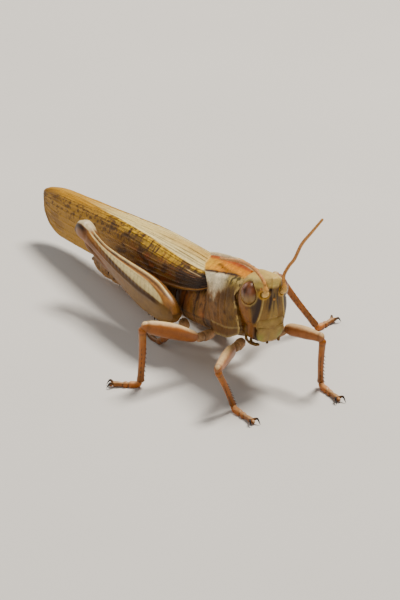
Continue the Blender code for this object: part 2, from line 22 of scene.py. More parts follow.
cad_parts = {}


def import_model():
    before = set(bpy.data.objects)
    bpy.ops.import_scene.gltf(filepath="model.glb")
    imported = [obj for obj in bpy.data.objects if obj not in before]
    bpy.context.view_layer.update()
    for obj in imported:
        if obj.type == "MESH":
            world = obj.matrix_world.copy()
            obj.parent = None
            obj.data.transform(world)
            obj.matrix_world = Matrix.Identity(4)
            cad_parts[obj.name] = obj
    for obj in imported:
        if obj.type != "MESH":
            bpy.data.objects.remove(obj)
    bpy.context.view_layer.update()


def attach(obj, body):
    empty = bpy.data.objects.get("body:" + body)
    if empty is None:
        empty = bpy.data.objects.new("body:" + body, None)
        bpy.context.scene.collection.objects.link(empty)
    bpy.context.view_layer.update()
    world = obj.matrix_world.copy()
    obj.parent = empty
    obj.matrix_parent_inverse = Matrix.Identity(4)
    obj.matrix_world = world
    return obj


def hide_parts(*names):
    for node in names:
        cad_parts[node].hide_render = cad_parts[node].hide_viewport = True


LOG = logging.getLogger("grasshopper")
MM = 0.001
WELD = 2e-7
PAINT = "Paint"
LAY = "Lay"

Array = np.ndarray
Grid = tuple[int, int]
Span = tuple[float, float]
Spot = tuple[float, float, float]
Stations = Sequence[tuple[float, float]]
Socket = bpy.types.NodeSocket
Mesh = bmesh.types.BMesh
Values = dict[str | int, float | Sequence[float] | Socket]
Shape = Callable[[Array, Array], Array]
Relief = Callable[["Spots"], Array]
Paint = Callable[["Spots"], "Coat"]
Girth = Stations | Callable[[Array, Array], Array]


class Side(Enum):
    """A side of the animal, as the sign of X."""

    LEFT = 1
    RIGHT = -1

    @property
    def word(self) -> str:
        """The side's word in node names."""
        return self.name.lower()


class Pair(Enum):
    """A pair of legs."""

    FORE = "fore"
    MID = "mid"
    HIND = "hind"


class Slot(Enum):
    """The record's material slots."""

    HEAD = "head_shell"
    EYE = "eye"
    JAW = "jaw"
    FEELER = "antenna"
    PRONOTUM = "pronotum_shell"
    TRUNK = "trunk_shell"
    ABDOMEN = "abdomen_shell"
    TAIL = "tail_shell"
    FOREWING = "forewing"
    HINDWING = "hindwing"
    LEG = "leg_shell"
    HIND_THIGH = "hind_thigh"
    FOOT = "foot_shell"


class Tone(Enum):
    """The shell's colours, as hex."""

    OLIVE = "#74530f"
    FACE = "#836124"
    VERTEX = "#d8b868"
    MOCHA = "#2e180c"
    GENA = "#865012"
    LIP = "#ab8e46"
    MOSS = "#868c2c"
    INK = "#121118"
    EYE_TOP = "#84481f"
    EYE_LOW = "#866222"
    AMBER = "#c8822c"
    CREAM = "#f2dd9a"
    PEARL = "#fff0c6"
    DISC = "#da8a10"
    GOLD = "#d29a1c"
    SUN = "#dcae14"
    RUST = "#a84604"
    BARK = "#402408"
    UMBER = "#241206"
    LOBE = "#75501c"
    ROSE = "#93603a"
    STRAW = "#e2cb84"
    HONEY = "#a87a1a"
    EARTH = "#603c0e"
    SLATE = "#3a3638"
    ORANGE = "#b46418"
    PINK = "#e8c290"
    TAN = "#a06c22"
    BONE = "#cdbb92"
    BELLY = "#b08640"

    @property
    def rgb(self) -> Array:
        """The colour in linear light."""
        parts = np.array([int(self.value[i:i + 2], 16) / 255 for i in (1, 3, 5)])
        return np.where(parts <= 0.04045, parts / 12.92, ((parts + 0.055) / 1.055) ** 2.4)


def curve(places: Sequence[float], values: Sequence[Array | float], at: Array) -> Array:
    """Read the monotone cubic curve through stations.

    Args:
        places: Where the stations are, rising.
        values: Each station's value, one number or one for each reading.
        at: The places to read.

    Returns:
        The value at each place.
    """
    x = np.asarray(places, float)
    spot = np.clip(np.asarray(at, float), x[0], x[-1])
    y = np.stack([np.broadcast_to(np.asarray(value, float), spot.shape) for value in values])
    width = np.diff(x)
    rises = np.diff(y, axis=0) / width[:, None]
    product = rises[:-1] * rises[1:]
    total = rises[:-1] + rises[1:]
    inner = np.where(product > 0, 2 * product / np.where(total == 0, 1.0, total), 0.0)
    slopes = np.concatenate([rises[:1], inner, rises[-1:]])
    k = np.clip(np.searchsorted(x, spot, side="right") - 1, 0, len(x) - 2)
    column = np.arange(spot.size)
    f = (spot - x[k]) / width[k]
    start = y[k, column] * (1 + 2 * f) * (1 - f) ** 2 + slopes[k, column] * width[k] * f * (1 - f) ** 2
    end = y[k + 1, column] * f * f * (3 - 2 * f) + slopes[k + 1, column] * width[k] * f * f * (f - 1)
    return start + end


def smooth(stations: Stations, at: Array | float) -> Array:
    """Read the monotone cubic curve through (place, value) stations."""
    return curve([s[0] for s in stations], [s[1] for s in stations], np.atleast_1d(at))


def fade(start: float, end: float, at: Array) -> Array:
    """A smooth step from 0 at the start to 1 at the end."""
    f = np.clip((at - start) / (end - start), 0.0, 1.0)
    return f * f * (3 - 2 * f)


def ridge(at: Array, half: float) -> Array:
    """A soft ridge of height 1 over zero, with the given half-width."""
    return np.exp(-((at / half) ** 2))


def oval(turn: Array, power: float = 2.0) -> tuple[Array, Array]:
    """Points of the unit superellipse at shares of a turn; 2 is a circle and more is boxier."""
    c, s = np.cos(2 * np.pi * turn), np.sin(2 * np.pi * turn)
    return np.sign(c) * np.abs(c) ** (2 / power), np.sign(s) * np.abs(s) ** (2 / power)


def dome(along: Array, first: float, last: float) -> Array:
    """A factor that rounds a limb's two ends over the given shares of its length.

    Args:
        along: Shares of the limb's length.
        first: The share over which the near end rounds off.
        last: The share over which the far end rounds off.

    Returns:
        The factor, from 0 to 1.
    """
    near = np.clip(along / first, 0.0, 1.0) if first else np.ones_like(along)
    far = np.clip((1 - along) / last, 0.0, 1.0) if last else np.ones_like(along)
    return np.sqrt(1 - (1 - near) ** 2) * np.sqrt(1 - (1 - far) ** 2)


def stack(x: Array, y: Array, z: Array) -> Array:
    """Join three coordinates into points."""
    return np.stack(np.broadcast_arrays(x, y, z), axis=-1).astype(float)


def unit(vectors: Array) -> Array:
    """Vectors scaled to length 1, or left at 0."""
    length = np.linalg.norm(vectors, axis=-1, keepdims=True)
    return vectors / np.where(length < 1e-12, 1.0, length)


@dataclass(frozen=True)
class Spots:
    """A shell's points: their shares along it and round it, and their places in millimetres."""

    u: Array
    v: Array
    places: Array

    @property
    def x(self) -> Array:
        """How far left each point is."""
        return self.places[:, 0]

    @property
    def y(self) -> Array:
        """How far back each point is."""
        return self.places[:, 1]

    @property
    def z(self) -> Array:
        """How high each point is."""
        return self.places[:, 2]


@dataclass
class Coat:
    """Colours laid over each other on a shell's points, one row a point."""

    colours: Array

    @classmethod
    def of(cls, tone: Tone, at: Spots) -> Coat:
        """A plain first coat for the points."""
        return cls(np.tile(tone.rgb, (len(at.u), 1)))

    def lay(self, tone: Tone | Coat, share: Array | float) -> Coat:
        """Lay one more colour over the others.

        Args:
            tone: The colour, or another coat.
            share: How much of it shows, from 0 to 1.

        Returns:
            This coat, ready for the next colour.
        """
        part = np.clip(np.asarray(share, float), 0.0, 1.0)
        part = part[:, None] if part.ndim else part
        over = tone.colours if isinstance(tone, Coat) else tone.rgb
        self.colours = self.colours * (1 - part) + over * part
        return self


@dataclass(frozen=True)
class Mottle:
    """Seeded soft blotches over two coordinates, from 0 to 1."""

    seed: int
    size: int = 64

    def at(self, a: Array, b: Array) -> Array:
        """Read the blotches.

        Args:
            a: First coordinate, with one blotch to a unit.
            b: Second coordinate.

        Returns:
            A value from 0 to 1 for each pair.
        """
        lattice = np.random.default_rng(self.seed).random((self.size, self.size))
        i, j = np.floor(a).astype(int), np.floor(b).astype(int)
        f, g = a - i, b - j
        f, g = f * f * (3 - 2 * f), g * g * (3 - 2 * g)
        n = self.size
        low = lattice[i % n, j % n] * (1 - f) + lattice[(i + 1) % n, j % n] * f
        high = lattice[i % n, (j + 1) % n] * (1 - f) + lattice[(i + 1) % n, (j + 1) % n] * f
        return low * (1 - g) + high * g

    def rich(self, a: Array, b: Array) -> Array:
        """Three layers of blotches, each half the size of the last."""
        return (self.at(a, b) * 4 + self.at(2 * a + 7, 2 * b + 3) * 2 + self.at(4 * a + 1, 4 * b + 9)) / 7


@dataclass(frozen=True)
class Route:
    """A smooth path through points, read by the share of its length."""

    points: Sequence[Sequence[float]]

    def __call__(self, share: Array) -> Array:
        """The path's points at shares of its length.

        Args:
            share: Shares of the path's length.

        Returns:
            The path's points.
        """
        spots = np.array(self.points, float)
        run = np.concatenate([[0.0], np.cumsum(np.linalg.norm(np.diff(spots, axis=0), axis=1))])
        run /= run[-1]
        return np.stack([curve(run, spots[:, i], np.atleast_1d(share)) for i in range(3)], axis=-1)


@dataclass(frozen=True)
class Stance:
    """Where the body's level frame and the feet's frame lie in the whole model."""

    pitch: float = math.radians(7.3)
    height: float = 6.3
    left: float = 1.39
    back: float = 19.58

    def floor(self, points: Array) -> Array:
        """Points of the feet's frame in the model's frame."""
        return points - np.array([self.left, self.back, 0.0])

    def tipped(self, points: Array) -> Array:
        """Points of the body's frame in the feet's frame.

        Args:
            points: Points of the body's frame.

        Returns:
            The points in the feet's frame.
        """
        c, s = math.cos(self.pitch), math.sin(self.pitch)
        x, y, z = np.moveaxis(np.asarray(points, float), -1, 0)
        return stack(x, y * c + z * s, z * c - y * s + self.height)

    def body(self, points: Array) -> Array:
        """Points of the body's frame in the model's frame."""
        return self.floor(self.tipped(points))


def mirrored(points: Array | Sequence, side: Side) -> Array:
    """Left-hand points taken to a side."""
    return np.asarray(points, float) * np.array([side.value, 1.0, 1.0])


@dataclass(frozen=True)
class Carved:
    """A shape pushed out along its own normals by a relief.

    The inside is a point on the inner side, or None for the middle of the points.
    """

    shape: Shape
    relief: Relief
    inside: Sequence[float] | None = None
    step: float = 2e-4

    def __call__(self, u: Array, v: Array) -> Array:
        """The carved shape.

        Args:
            u: Shares along the shape.
            v: Shares across or round it.

        Returns:
            The points.
        """
        base = self.shape(u, v)
        du = self.shape(np.clip(u + self.step, 0, 1), v) - self.shape(np.clip(u - self.step, 0, 1), v)
        dv = self.shape(u, v + self.step) - self.shape(u, v - self.step)
        normal = unit(np.cross(du, dv))
        centre = base.mean(axis=0) if self.inside is None else np.asarray(self.inside, float)
        hand = 1.0 if np.sum(normal * (base - centre)) > 0 else -1.0
        return base + normal * (hand * self.relief(Spots(u, v, base)))[:, None]


@dataclass(frozen=True)
class Taper:
    """A limb's half-width by share of its length, with its two ends rounded off.

    A keel is how far the crest stands out, as a share of the half-width.
    """

    stations: Stations
    first: float
    last: float
    scale: float = 1.0
    rounding: float = 1.0
    keel: float = 0.0

    def __call__(self, u: Array, v: Array) -> Array:
        """The half-width at each point."""
        crest = 1 + self.keel * ridge((v % 1.0) - 0.25, 0.02)
        return smooth(self.stations, u) * self.scale * dome(u, self.first, self.last) ** self.rounding * crest


@dataclass(frozen=True)
class Swept:
    """A limb along a path, with the second share running round it.

    The depth is measured towards the upright direction, more power makes the section boxier, and
    no point dips below the floor.
    """

    path: Callable[[Array], Array]
    wide: Girth
    deep: Girth
    upright: Sequence[float]
    power: float = 2.0
    floor: float | None = None
    ahead: float = 0.004

    def size(self, girth: Girth, u: Array, v: Array) -> Array:
        """Read a half-width or half-depth at each point."""
        return girth(u, v) if callable(girth) else smooth(girth, u)

    def __call__(self, u: Array, v: Array) -> Array:
        """The limb's surface.

        Args:
            u: Shares of the limb's length.
            v: Shares of a turn round it.

        Returns:
            The points.
        """
        lead = unit(self.path(np.minimum(1.0, u + self.ahead)) - self.path(np.maximum(0.0, u - self.ahead)))
        side = unit(np.cross(lead, np.asarray(self.upright, float)))
        up = np.cross(side, lead)
        c, s = oval(v, self.power)
        across, along_up = self.size(self.wide, u, v) * c, self.size(self.deep, u, v) * s
        spot = self.path(u) + side * across[:, None] + up * along_up[:, None]
        if self.floor is not None:
            spot[:, 2] = np.maximum(spot[:, 2], self.floor)
        return spot


class Recipe:
    """A material in the making: the shader and the nodes that feed it."""

    def __init__(self, name: str) -> None:
        """Start a material.

        Args:
            name: Its name.
        """
        self.material = bpy.data.materials.new(name)
        self.material.use_nodes = True
        self.shader = self.material.node_tree.nodes["Principled BSDF"]

    def feed(self, node: bpy.types.Node, values: Values) -> None:
        """Set a node's inputs.

        Args:
            node: The node.
            values: For each input, its value or the output that feeds it.
        """
        for key, value in values.items():
            if isinstance(value, Socket):
                self.material.node_tree.links.new(value, node.inputs[key])
            else:
                node.inputs[key].default_value = value

    def add(self, kind: str, values: Values, **settings: str | bool) -> bpy.types.Node:
        """Add a node.

        Args:
            kind: The node's kind.
            values: For each input, its value or the output that feeds it.
            **settings: The node's other settings.

        Returns:
            The new node.
        """
        made = self.material.node_tree.nodes.new("ShaderNode" + kind)
        for name, value in settings.items():
            setattr(made, name, value)
        self.feed(made, values)
        return made

    def attribute(self, name: str, output: str) -> Socket:
        """A value painted on the mesh."""
        return self.add("Attribute", {}, attribute_name=name).outputs[output]

    def place(self) -> Socket:
        """Where a point is on the piece."""
        return self.add("TexCoord", {}).outputs["Object"]

    def spread(self, value: Socket, low: float, high: float, span: Span = (0.0, 1.0)) -> Socket:
        """Stretch the values of a span to a new lowest and highest."""
        values = {"Value": value, "From Min": span[0], "From Max": span[1], "To Min": low, "To Max": high}
        return self.add("MapRange", values).outputs["Result"]

    def scaled(self, colour: Socket, factor: Socket) -> Socket:
        """A colour made lighter or darker by a factor."""
        return self.add("VectorMath", {0: colour, "Scale": factor}, operation="SCALE").outputs["Vector"]

    def bump(self, height: Socket, depth: float, strength: float, **settings: bool) -> bpy.types.Node:
        """A node that raises the surface by a height, with its full depth in millimetres."""
        values = {"Height": height, "Distance": depth * MM, "Strength": strength}
        return self.add("Bump", values, **settings)


@dataclass(frozen=True)
class Cuticle:
    """A horny shell: its painted colour broken by grain, with pits and a waxy gloss.

    Grain and pits are given as how many there are to a millimetre, depths in millimetres.
    """

    name: str
    roughness: float = 0.42
    shine: float = 0.3
    coat: float = 0.05
    grain: float = 3.0
    grain_strength: float = 0.25
    speck: float = 9.0
    speck_strength: float = 0.2
    pits: float = 7.0
    pit_depth: float = 0.012
    sheen: float = 0.0

    def build(self) -> bpy.types.Material:
        """Make the material.

        Returns:
            The new material.
        """
        mix = Recipe(self.name)
        place = mix.place()
        colour = mix.attribute(PAINT, "Color")
        for scale, strength, seed in (
            (self.grain, self.grain_strength, 0.0),
            (self.speck, self.speck_strength, 3.7),
        ):
            values = {"Vector": place, "W": seed, "Scale": scale / MM, "Detail": 4.0}
            noise = mix.add("TexNoise", values, noise_dimensions="4D").outputs["Fac"]
            colour = mix.scaled(colour, mix.spread(noise, 1.0 - strength, 1.0 + strength * 0.6, (0.3, 0.7)))
        cell = mix.add("TexVoronoi", {"Vector": place, "Scale": self.pits / MM}, feature="SMOOTH_F1")
        dent = mix.bump(cell.outputs["Distance"], self.pit_depth, 0.7)
        ripple = mix.bump(noise, self.pit_depth, 0.5)
        mix.feed(ripple, {"Normal": dent.outputs["Normal"]})
        mix.feed(mix.shader, {
            "Base Color": colour,
            "Roughness": mix.spread(noise, self.roughness - 0.1, self.roughness + 0.12),
            "Specular IOR Level": self.shine,
            "Coat Weight": self.coat,
            "Coat Roughness": 0.25,
            "Sheen Weight": self.sheen,
            "Normal": ripple.outputs["Normal"],
        })
        return mix.material


@dataclass(frozen=True)
class WingFilm:
    """A dry veined wing: painted colour under a net of fine cross-veins that follows the wing."""

    name: str
    roughness: float = 0.5
    cells: float = 2.1
    stretch: float = 1.7
    vein_dark: float = 0.13
    vein_height: float = 0.008

    def build(self) -> bpy.types.Material:
        """Make the material.

        Returns:
            The new material.
        """
        mix = Recipe(self.name)
        lay = mix.attribute(LAY, "Vector")
        lay = mix.add("Mapping", {"Vector": lay, "Scale": (self.stretch, 1.0, 1.0)}).outputs["Vector"]
        values = {"Vector": lay, "Scale": self.cells, "Randomness": 0.55}
        cell = mix.add("TexVoronoi", values, feature="DISTANCE_TO_EDGE")
        vein = mix.spread(cell.outputs["Distance"], 1.0, 0.0, (0.01, 0.09))
        noise = mix.add("TexNoise", {"Vector": lay, "Scale": 2.2, "Detail": 5.0})
        colour = mix.scaled(mix.attribute(PAINT, "Color"), mix.spread(vein, 1.0, 1.0 - self.vein_dark))
        colour = mix.scaled(colour, mix.spread(noise.outputs["Fac"], 0.8, 1.12, (0.3, 0.7)))
        mix.feed(mix.shader, {
            "Base Color": colour,
            "Roughness": self.roughness,
            "Specular IOR Level": 0.2,
            "Normal": mix.bump(vein, self.vein_height, 0.8).outputs["Normal"],
        })
        return mix.material


@dataclass(frozen=True)
class EyeGloss:
    """A glossy compound eye with fine facets, in its painted colours."""

    name: str
    facets: float = 14.0
    facet_depth: float = 0.006

    def build(self) -> bpy.types.Material:
        """Make the material.

        Returns:
            The new material.
        """
        mix = Recipe(self.name)
        values = {"Vector": mix.place(), "Scale": self.facets / MM, "Randomness": 0.3}
        distance = mix.add("TexVoronoi", values).outputs["Distance"]
        mix.feed(mix.shader, {
            "Base Color": mix.scaled(mix.attribute(PAINT, "Color"), mix.spread(distance, 1.1, 0.7)),
            "Roughness": 0.38,
            "Coat Weight": 0.3,
            "Coat Roughness": 0.2,
            "Normal": mix.bump(distance, self.facet_depth, 0.5, invert=True).outputs["Normal"],
        })
        return mix.material


Finish = Cuticle | WingFilm | EyeGloss


@dataclass
class Workshop:
    """Makes finished pieces and ties them to the solids that they stand for."""

    stance: Stance = field(default_factory=Stance)
    finishes: dict[str, bpy.types.Material] = field(default_factory=dict)

    def material(self, finish: Finish) -> bpy.types.Material:
        """A finish's material, made once.

        Args:
            finish: The finish.

        Returns:
            The material.
        """
        if finish.name not in self.finishes:
            self.finishes[finish.name] = finish.build()
        return self.finishes[finish.name]

    def sheet(self, grid: Grid, shape: Shape, paint: Paint, tipped: bool = True) -> Mesh:
        """Lay a grid over a shape and colour it.

        Args:
            grid: Faces along the first share and along the second.
            shape: The place of each point, in millimetres.
            paint: The colour of each point, from its shares and place.
            tipped: True for a shape in the body's frame, False for the feet's.

        Returns:
            The mesh in the model's frame, with its seams welded.
        """
        rows, columns = grid
        mesh = bmesh.new()
        bmesh.ops.create_grid(mesh, x_segments=rows, y_segments=columns, size=1.0)
        tint = mesh.verts.layers.float_color.new(PAINT)
        lie = mesh.verts.layers.float_vector.new(LAY)
        corners = np.array([vert.co.xy for vert in mesh.verts])
        u = np.round((corners[:, 0] + 1) / 2 * rows) / rows
        v = np.round((corners[:, 1] + 1) / 2 * columns) / columns
        spots = shape(u, v)
        tones = np.clip(paint(Spots(u, v, spots)).colours, 0.0, 1.0)
        placed = (self.stance.body(spots) if tipped else self.stance.floor(spots)) * MM
        length = np.linalg.norm(spots.max(axis=0) - spots.min(axis=0))
        for vert, spot, tone, a, b in zip(mesh.verts, placed, tones, u * length, v * 10.0):
            vert.co = spot
            vert[tint] = (*tone, 1.0)
            vert[lie] = (a, b, 0.0)
        bmesh.ops.remove_doubles(mesh, verts=mesh.verts, dist=WELD)
        return mesh

    def shell(self, grid: Grid, shape: Shape, paint: Paint, tipped: bool = True) -> Mesh:
        """A closed body: a sheet whose second share runs right round, with its ends filled.

        Args:
            grid: Faces along and round the body.
            shape: The place of each point, in millimetres.
            paint: The colours of the points.
            tipped: True for a shape in the body's frame, False for the feet's.

        Returns:
            The closed mesh.
        """
        mesh = self.sheet(grid, shape, paint, tipped)
        rims = [edge for edge in mesh.edges if edge.is_boundary]
        bmesh.ops.holes_fill(mesh, edges=rims)
        bmesh.ops.recalc_face_normals(mesh, faces=mesh.faces)
        return mesh

    def plate(
        self, grid: Grid, shape: Shape, paint: Paint, inside: Sequence[float], thickness: float,
    ) -> Mesh:
        """An open sheet of the body thickened towards a point inside it.

        Args:
            grid: Faces along and across the sheet.
            shape: The place of each point, in millimetres.
            paint: The colours of the points.
            inside: A point on the inner side.
            thickness: The thickness, in millimetres.

        Returns:
            The thickened mesh.
        """
        mesh = self.sheet(grid, shape, paint)
        bmesh.ops.recalc_face_normals(mesh, faces=mesh.faces)
        centre = Vector(self.stance.body(np.asarray(inside, float)) * MM)
        outward = sum((face.calc_center_median() - centre).dot(face.normal) for face in mesh.faces)
        if outward < 0:
            bmesh.ops.reverse_faces(mesh, faces=mesh.faces)
        bmesh.ops.solidify(mesh, geom=mesh.faces[:], thickness=thickness * MM)
        bmesh.ops.recalc_face_normals(mesh, faces=mesh.faces)
        return mesh

    def merged(self, meshes: Sequence[Mesh]) -> Mesh:
        """Several meshes made one.

        Args:
            meshes: The meshes; they are used up.

        Returns:
            The whole mesh.
        """
        whole = meshes[0]
        for extra in meshes[1:]:
            data = bpy.data.meshes.new("part")
            extra.to_mesh(data)
            extra.free()
            whole.from_mesh(data)
            bpy.data.meshes.remove(data)
        return whole

    def piece(
        self, name: str, mesh: Mesh, finish: Finish, nodes: Sequence[str] = (),
    ) -> bpy.types.Object:
        """Finish a mesh as a piece of the model.

        Args:
            name: The piece's name.
            mesh: Its mesh, in the model's frame; it is used up.
            finish: The finish it wears.
            nodes: The solids that it stands for.

        Returns:
            The new object.
        """
        data = bpy.data.meshes.new(name)
        mesh.to_mesh(data)
        mesh.free()
        data.shade_smooth()
        data.set_sharp_from_angle(angle=math.radians(60))
        data.materials.append(self.material(finish))
        made = bpy.data.objects.new(name, data)
        bpy.context.scene.collection.objects.link(made)
        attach(made, "root")
        if nodes:
            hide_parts(*nodes)
        LOG.info("%s: %d faces for %s", name, len(data.polygons), ", ".join(nodes) or "detail")
        return made


HORN = Cuticle("Waxy horn shell", roughness=0.42, coat=0.06, grain=1.6, speck=6.0, pits=9.0, pit_depth=0.01)
FACE_HORN = Cuticle(
    "Satin face shell", roughness=0.45, coat=0.05, grain=1.4, grain_strength=0.16, speck=7.0,
    speck_strength=0.16, pits=8.0, pit_depth=0.012,
)
SADDLE_HORN = Cuticle(
    "Pitted saddle shell", roughness=0.52, coat=0.02, grain=1.3, grain_strength=0.22, speck=5.0,
    speck_strength=0.26, pits=4.5, pit_depth=0.03,
)
PLEURA_HORN = Cuticle(
    "Wrinkled flank shell", roughness=0.52, coat=0.02, grain=1.2, grain_strength=0.3, speck=5.0,
    speck_strength=0.28, pits=6.0, pit_depth=0.02,
)
LEG_HORN = Cuticle(
    "Waxy leg shell", roughness=0.42, coat=0.06, grain=1.8, grain_strength=0.16, speck=7.0,
    speck_strength=0.14, pits=10.0, pit_depth=0.008,
)
JAW_HORN = Cuticle("Polished jaw shell", roughness=0.45, coat=0.0, grain=1.5, pits=6.0, pit_depth=0.006)
THREAD_HORN = Cuticle("Downy feeler shell", roughness=0.55, coat=0.05, grain=3.0, pits=14.0, sheen=0.15)
FOREWING_FILM = WingFilm("Dry forewing")
FAN_FILM = WingFilm("Clear folded fan", roughness=0.4, cells=1.4, vein_dark=0.45)
EYE = EyeGloss("Faceted eye")


@dataclass
class Head:
    """The head capsule with its ridges and sockets, the eyes and the simple eyes."""

    half_width: Stations = (
        (2.15, 2.2), (3, 2.55), (4.2, 2.75), (5.5, 2.6), (6.6, 2.3), (7.5, 1.72), (8.05, 1), (8.3, 0.4),
    )
    face: Stations = (
        (2.15, -5.1), (3.8, -5.6), (5.2, -5.9), (6.6, -6.2), (7.5, -6.55), (8, -6.5), (8.3, -5.7),
    )
    back: Stations = ((2.15, -2.3), (4.2, -1.9), (6, -1.9), (7.5, -2.2), (8.3, -3.6))
    widest: Stations = ((2.15, -3.7), (4.2, -3.3), (6.2, -3.2), (8.3, -4.8))
    eye_centre: Spot = (1.8, -3.95, 6.05)
    eye_radii: Spot = (1.15, 1.2, 1.4)
    socket: tuple[float, float] = (1.15, 6.15)
    ridge_half: Stations = ((2.9, 0.62), (4.6, 0.5), (5.4, 0.4), (6.4, 0.48), (7.4, 0.42), (8.2, 0.3))
    side_ridge: Stations = ((2.4, 1.9), (3.6, 1.62), (4.8, 1.4), (5.6, 1.3))
    eye_groove: Stations = ((2.1, 2.1), (3.4, 2.32), (4.8, 2.42))
    cheek_line: Stations = ((2.1, -3.3), (3, -2.75), (4.4, -2.35), (6.4, -2.3))
    beads: Sequence[Spot] = ((0, -5.98, 5.45), (1.42, -5.7, 6.85), (-1.42, -5.7, 6.85))
    bead_radius: float = 0.17
    power: float = 2.3
    cheek_back: float = 0.5
    lid: float = 0.05
    inside: Spot = (0, -4, 5)
    grid: Grid = (150, 220)
    eye_grid: Grid = (56, 72)

    def surface(self, u: Array, v: Array) -> Array:
        """The plain capsule.

        Args:
            u: Shares along the shape.
            v: Shares across or round it.

        Returns:
            The points.
        """
        chin, crown = self.half_width[0][0], self.half_width[-1][0]
        height = chin + (crown - chin) * np.sin(u * np.pi / 2)
        c, s = oval(v, self.power)
        middle = smooth(self.widest, height)
        reach = np.where(s > 0, smooth(self.face, height) - middle, middle - smooth(self.back, height))
        y = middle + reach * s + self.cheek_back * fade(0.2, -0.2, s)
        return stack(smooth(self.half_width, height) * c, y, height)

    def eye_share(self, spots: Array) -> Array:
        """How far points are from the nearer eye's centre, where 1 is its surface."""
        folded = stack(np.abs(spots[:, 0]), spots[:, 1], spots[:, 2])
        return np.linalg.norm((folded - np.array(self.eye_centre)) / np.array(self.eye_radii), axis=1)

    def relief(self, at: Spots) -> Array:
        """The ridges, grooves, feeler sockets and eye rims.

        Args:
            at: The shell's points.

        Returns:
            How far out each point moves.
        """
        x, y, z = np.abs(at.x), at.y, at.z
        front = fade(-4.2, -4.8, y)
        half = smooth(self.ridge_half, z)
        bar = (1 - fade(-0.08, 0.1, x - half)) * fade(2.9, 3.3, z) * fade(8.25, 7.9, z)
        amount = front * bar * (0.16 - 0.1 * ridge(x, 0.22) * fade(7.0, 6.2, z))
        amount += front * 0.05 * ridge(x - half + 0.06, 0.07) * fade(2.9, 3.3, z) * fade(8.1, 7.7, z)
        side = smooth(self.side_ridge, z)
        amount += front * 0.1 * ridge(x - side, 0.09) * fade(2.3, 2.7, z) * fade(5.9, 5.4, z)
        hole = np.hypot(x - self.socket[0], z - self.socket[1])
        amount += front * (0.07 * ridge(hole - 0.52, 0.1) - 0.16 * fade(0.46, 0.3, hole))
        amount -= 0.07 * ridge(x - smooth(self.eye_groove, z), 0.07) * fade(-3.3, -3.8, y) * fade(5.0, 4.6, z)
        amount -= front * 0.05 * ridge(z - 3.0 - 0.1 * np.cos(x * 1.6), 0.08) * fade(2.0, 1.8, x)
        amount -= 0.06 * ridge(y - smooth(self.cheek_line, z), 0.07) * fade(0.9, 1.4, x)
        amount += 0.05 * np.cos(x * 3.0) * ridge(y + 3.4, 1.2) * fade(7.6, 8.1, z)
        share = self.eye_share(at.places)
        pit = 0.12 * fade(1.2, 1.06, share)
        return amount + (self.lid * ridge(share - 1.13, 0.07) - pit - 0.1 * fade(1.0, 0.9, share))

    def paint(self, at: Spots) -> Coat:
        """Olive and tan, a crown paled partly by painted light, ridge stripes partly painted groove shade, a
        dark band under each eye.

        Args:
            at: The shell's points.

        Returns:
            The colours.
        """
        x, y, z = np.abs(at.x), at.y, at.z
        front = fade(-4.2, -4.8, y)
        spread = Mottle(11).rich(at.x * 1.5 + 30, z * 1.5)
        fine = Mottle(12).rich(at.x * 4 + y * 3 + 60, z * 4)
        coat = Coat.of(Tone.FACE, at).lay(Tone.OLIVE, 0.8 * fade(3.4, 5.6, z) + 0.5 * (spread - 0.5))
        groove, side = smooth(self.eye_groove, z), smooth(self.side_ridge, z)
        half = smooth(self.ridge_half, z)
        cheek = fade(0.0, 0.35, x - groove) * fade(5.6, 4.6, z)
        coat.lay(Tone.GENA, np.maximum(cheek, (1 - front) * fade(7.0, 6.0, z)) * 0.85)
        coat.lay(Tone.BARK, 0.5 * fade(0.55, 0.7, fine) * fade(1.9, 2.4, x))
        coat.lay(Tone.LIP, 0.45 * front * fade(0.1, -0.1, x - half) * fade(6.8, 5.0, z))
        # Dark stripes by the ridge: partly the face's own stripes and partly painted shade in the grooves
        # beside and along the ridge.
        stripes = 1.1 * ridge(x - half - 0.03, 0.12) * fade(3.4, 4.6, z) * fade(7.2, 6.8, z)
        stripes += 0.9 * ridge(x, 0.08) * fade(3.4, 4.6, z) * fade(6.4, 6.0, z)
        stripes += 0.65 * ridge(x - half - 0.4, 0.07) * fade(4.0, 5.0, z) * fade(6.2, 5.8, z)
        stripes += 0.4 * fade(0.5, 0.1, np.abs(x - half + 0.1)) * fade(4.2, 5.8, z) * fade(7.0, 6.6, z)
        coat.lay(Tone.MOCHA, front * stripes)
        reach = fade(0.05, 0.18, x - side) * fade(0.04, -0.14, x - groove)
        band = reach * fade(2.2, 3.0, z) * fade(6.3, 5.5, z) * fade(-3.3, -3.9, y)
        coat.lay(Tone.MOCHA, band * (0.8 + 0.5 * fade(0.7, 0.1, x - side) * (0.6 + spread)))
        coat.lay(Tone.VERTEX, 0.8 * front * ridge(x - side + 0.03, 0.08) * fade(2.6, 3.2, z))
        # Pale crown: partly the head's own pale top and partly painted light from above.
        crown = fade(6.75, 7.3, z) * (0.85 + 0.5 * (spread - 0.5))
        coat.lay(Tone.VERTEX, crown)
        coat.lay(Tone.MOSS, 0.3 * crown * fade(0.3, 0.7, spread))
        coat.lay(Tone.ROSE, 0.4 * crown * fade(-3.2, -2.2, y))
        # Painted shade: a dark line in the cheek groove, where the saddle's front edge overlaps the cheek.
        line = ridge(y - smooth(self.cheek_line, z) + 0.12, 0.08) * fade(1.2, 1.8, x) * fade(5.8, 4.6, z)
        coat.lay(Tone.UMBER, 0.85 * line)
        share = self.eye_share(at.places)
        coat.lay(Tone.VERTEX, 0.55 * ridge(share - 1.15, 0.06) * (0.4 + spread))
        # Painted shade in the crease where the capsule meets each eye.
        coat.lay(Tone.BARK, 0.75 * fade(1.06, 1.0, share))
        hole = np.hypot(x - self.socket[0], z - self.socket[1])
        return coat.lay(Tone.GOLD, 0.6 * front * ridge(hole - 0.52, 0.14))

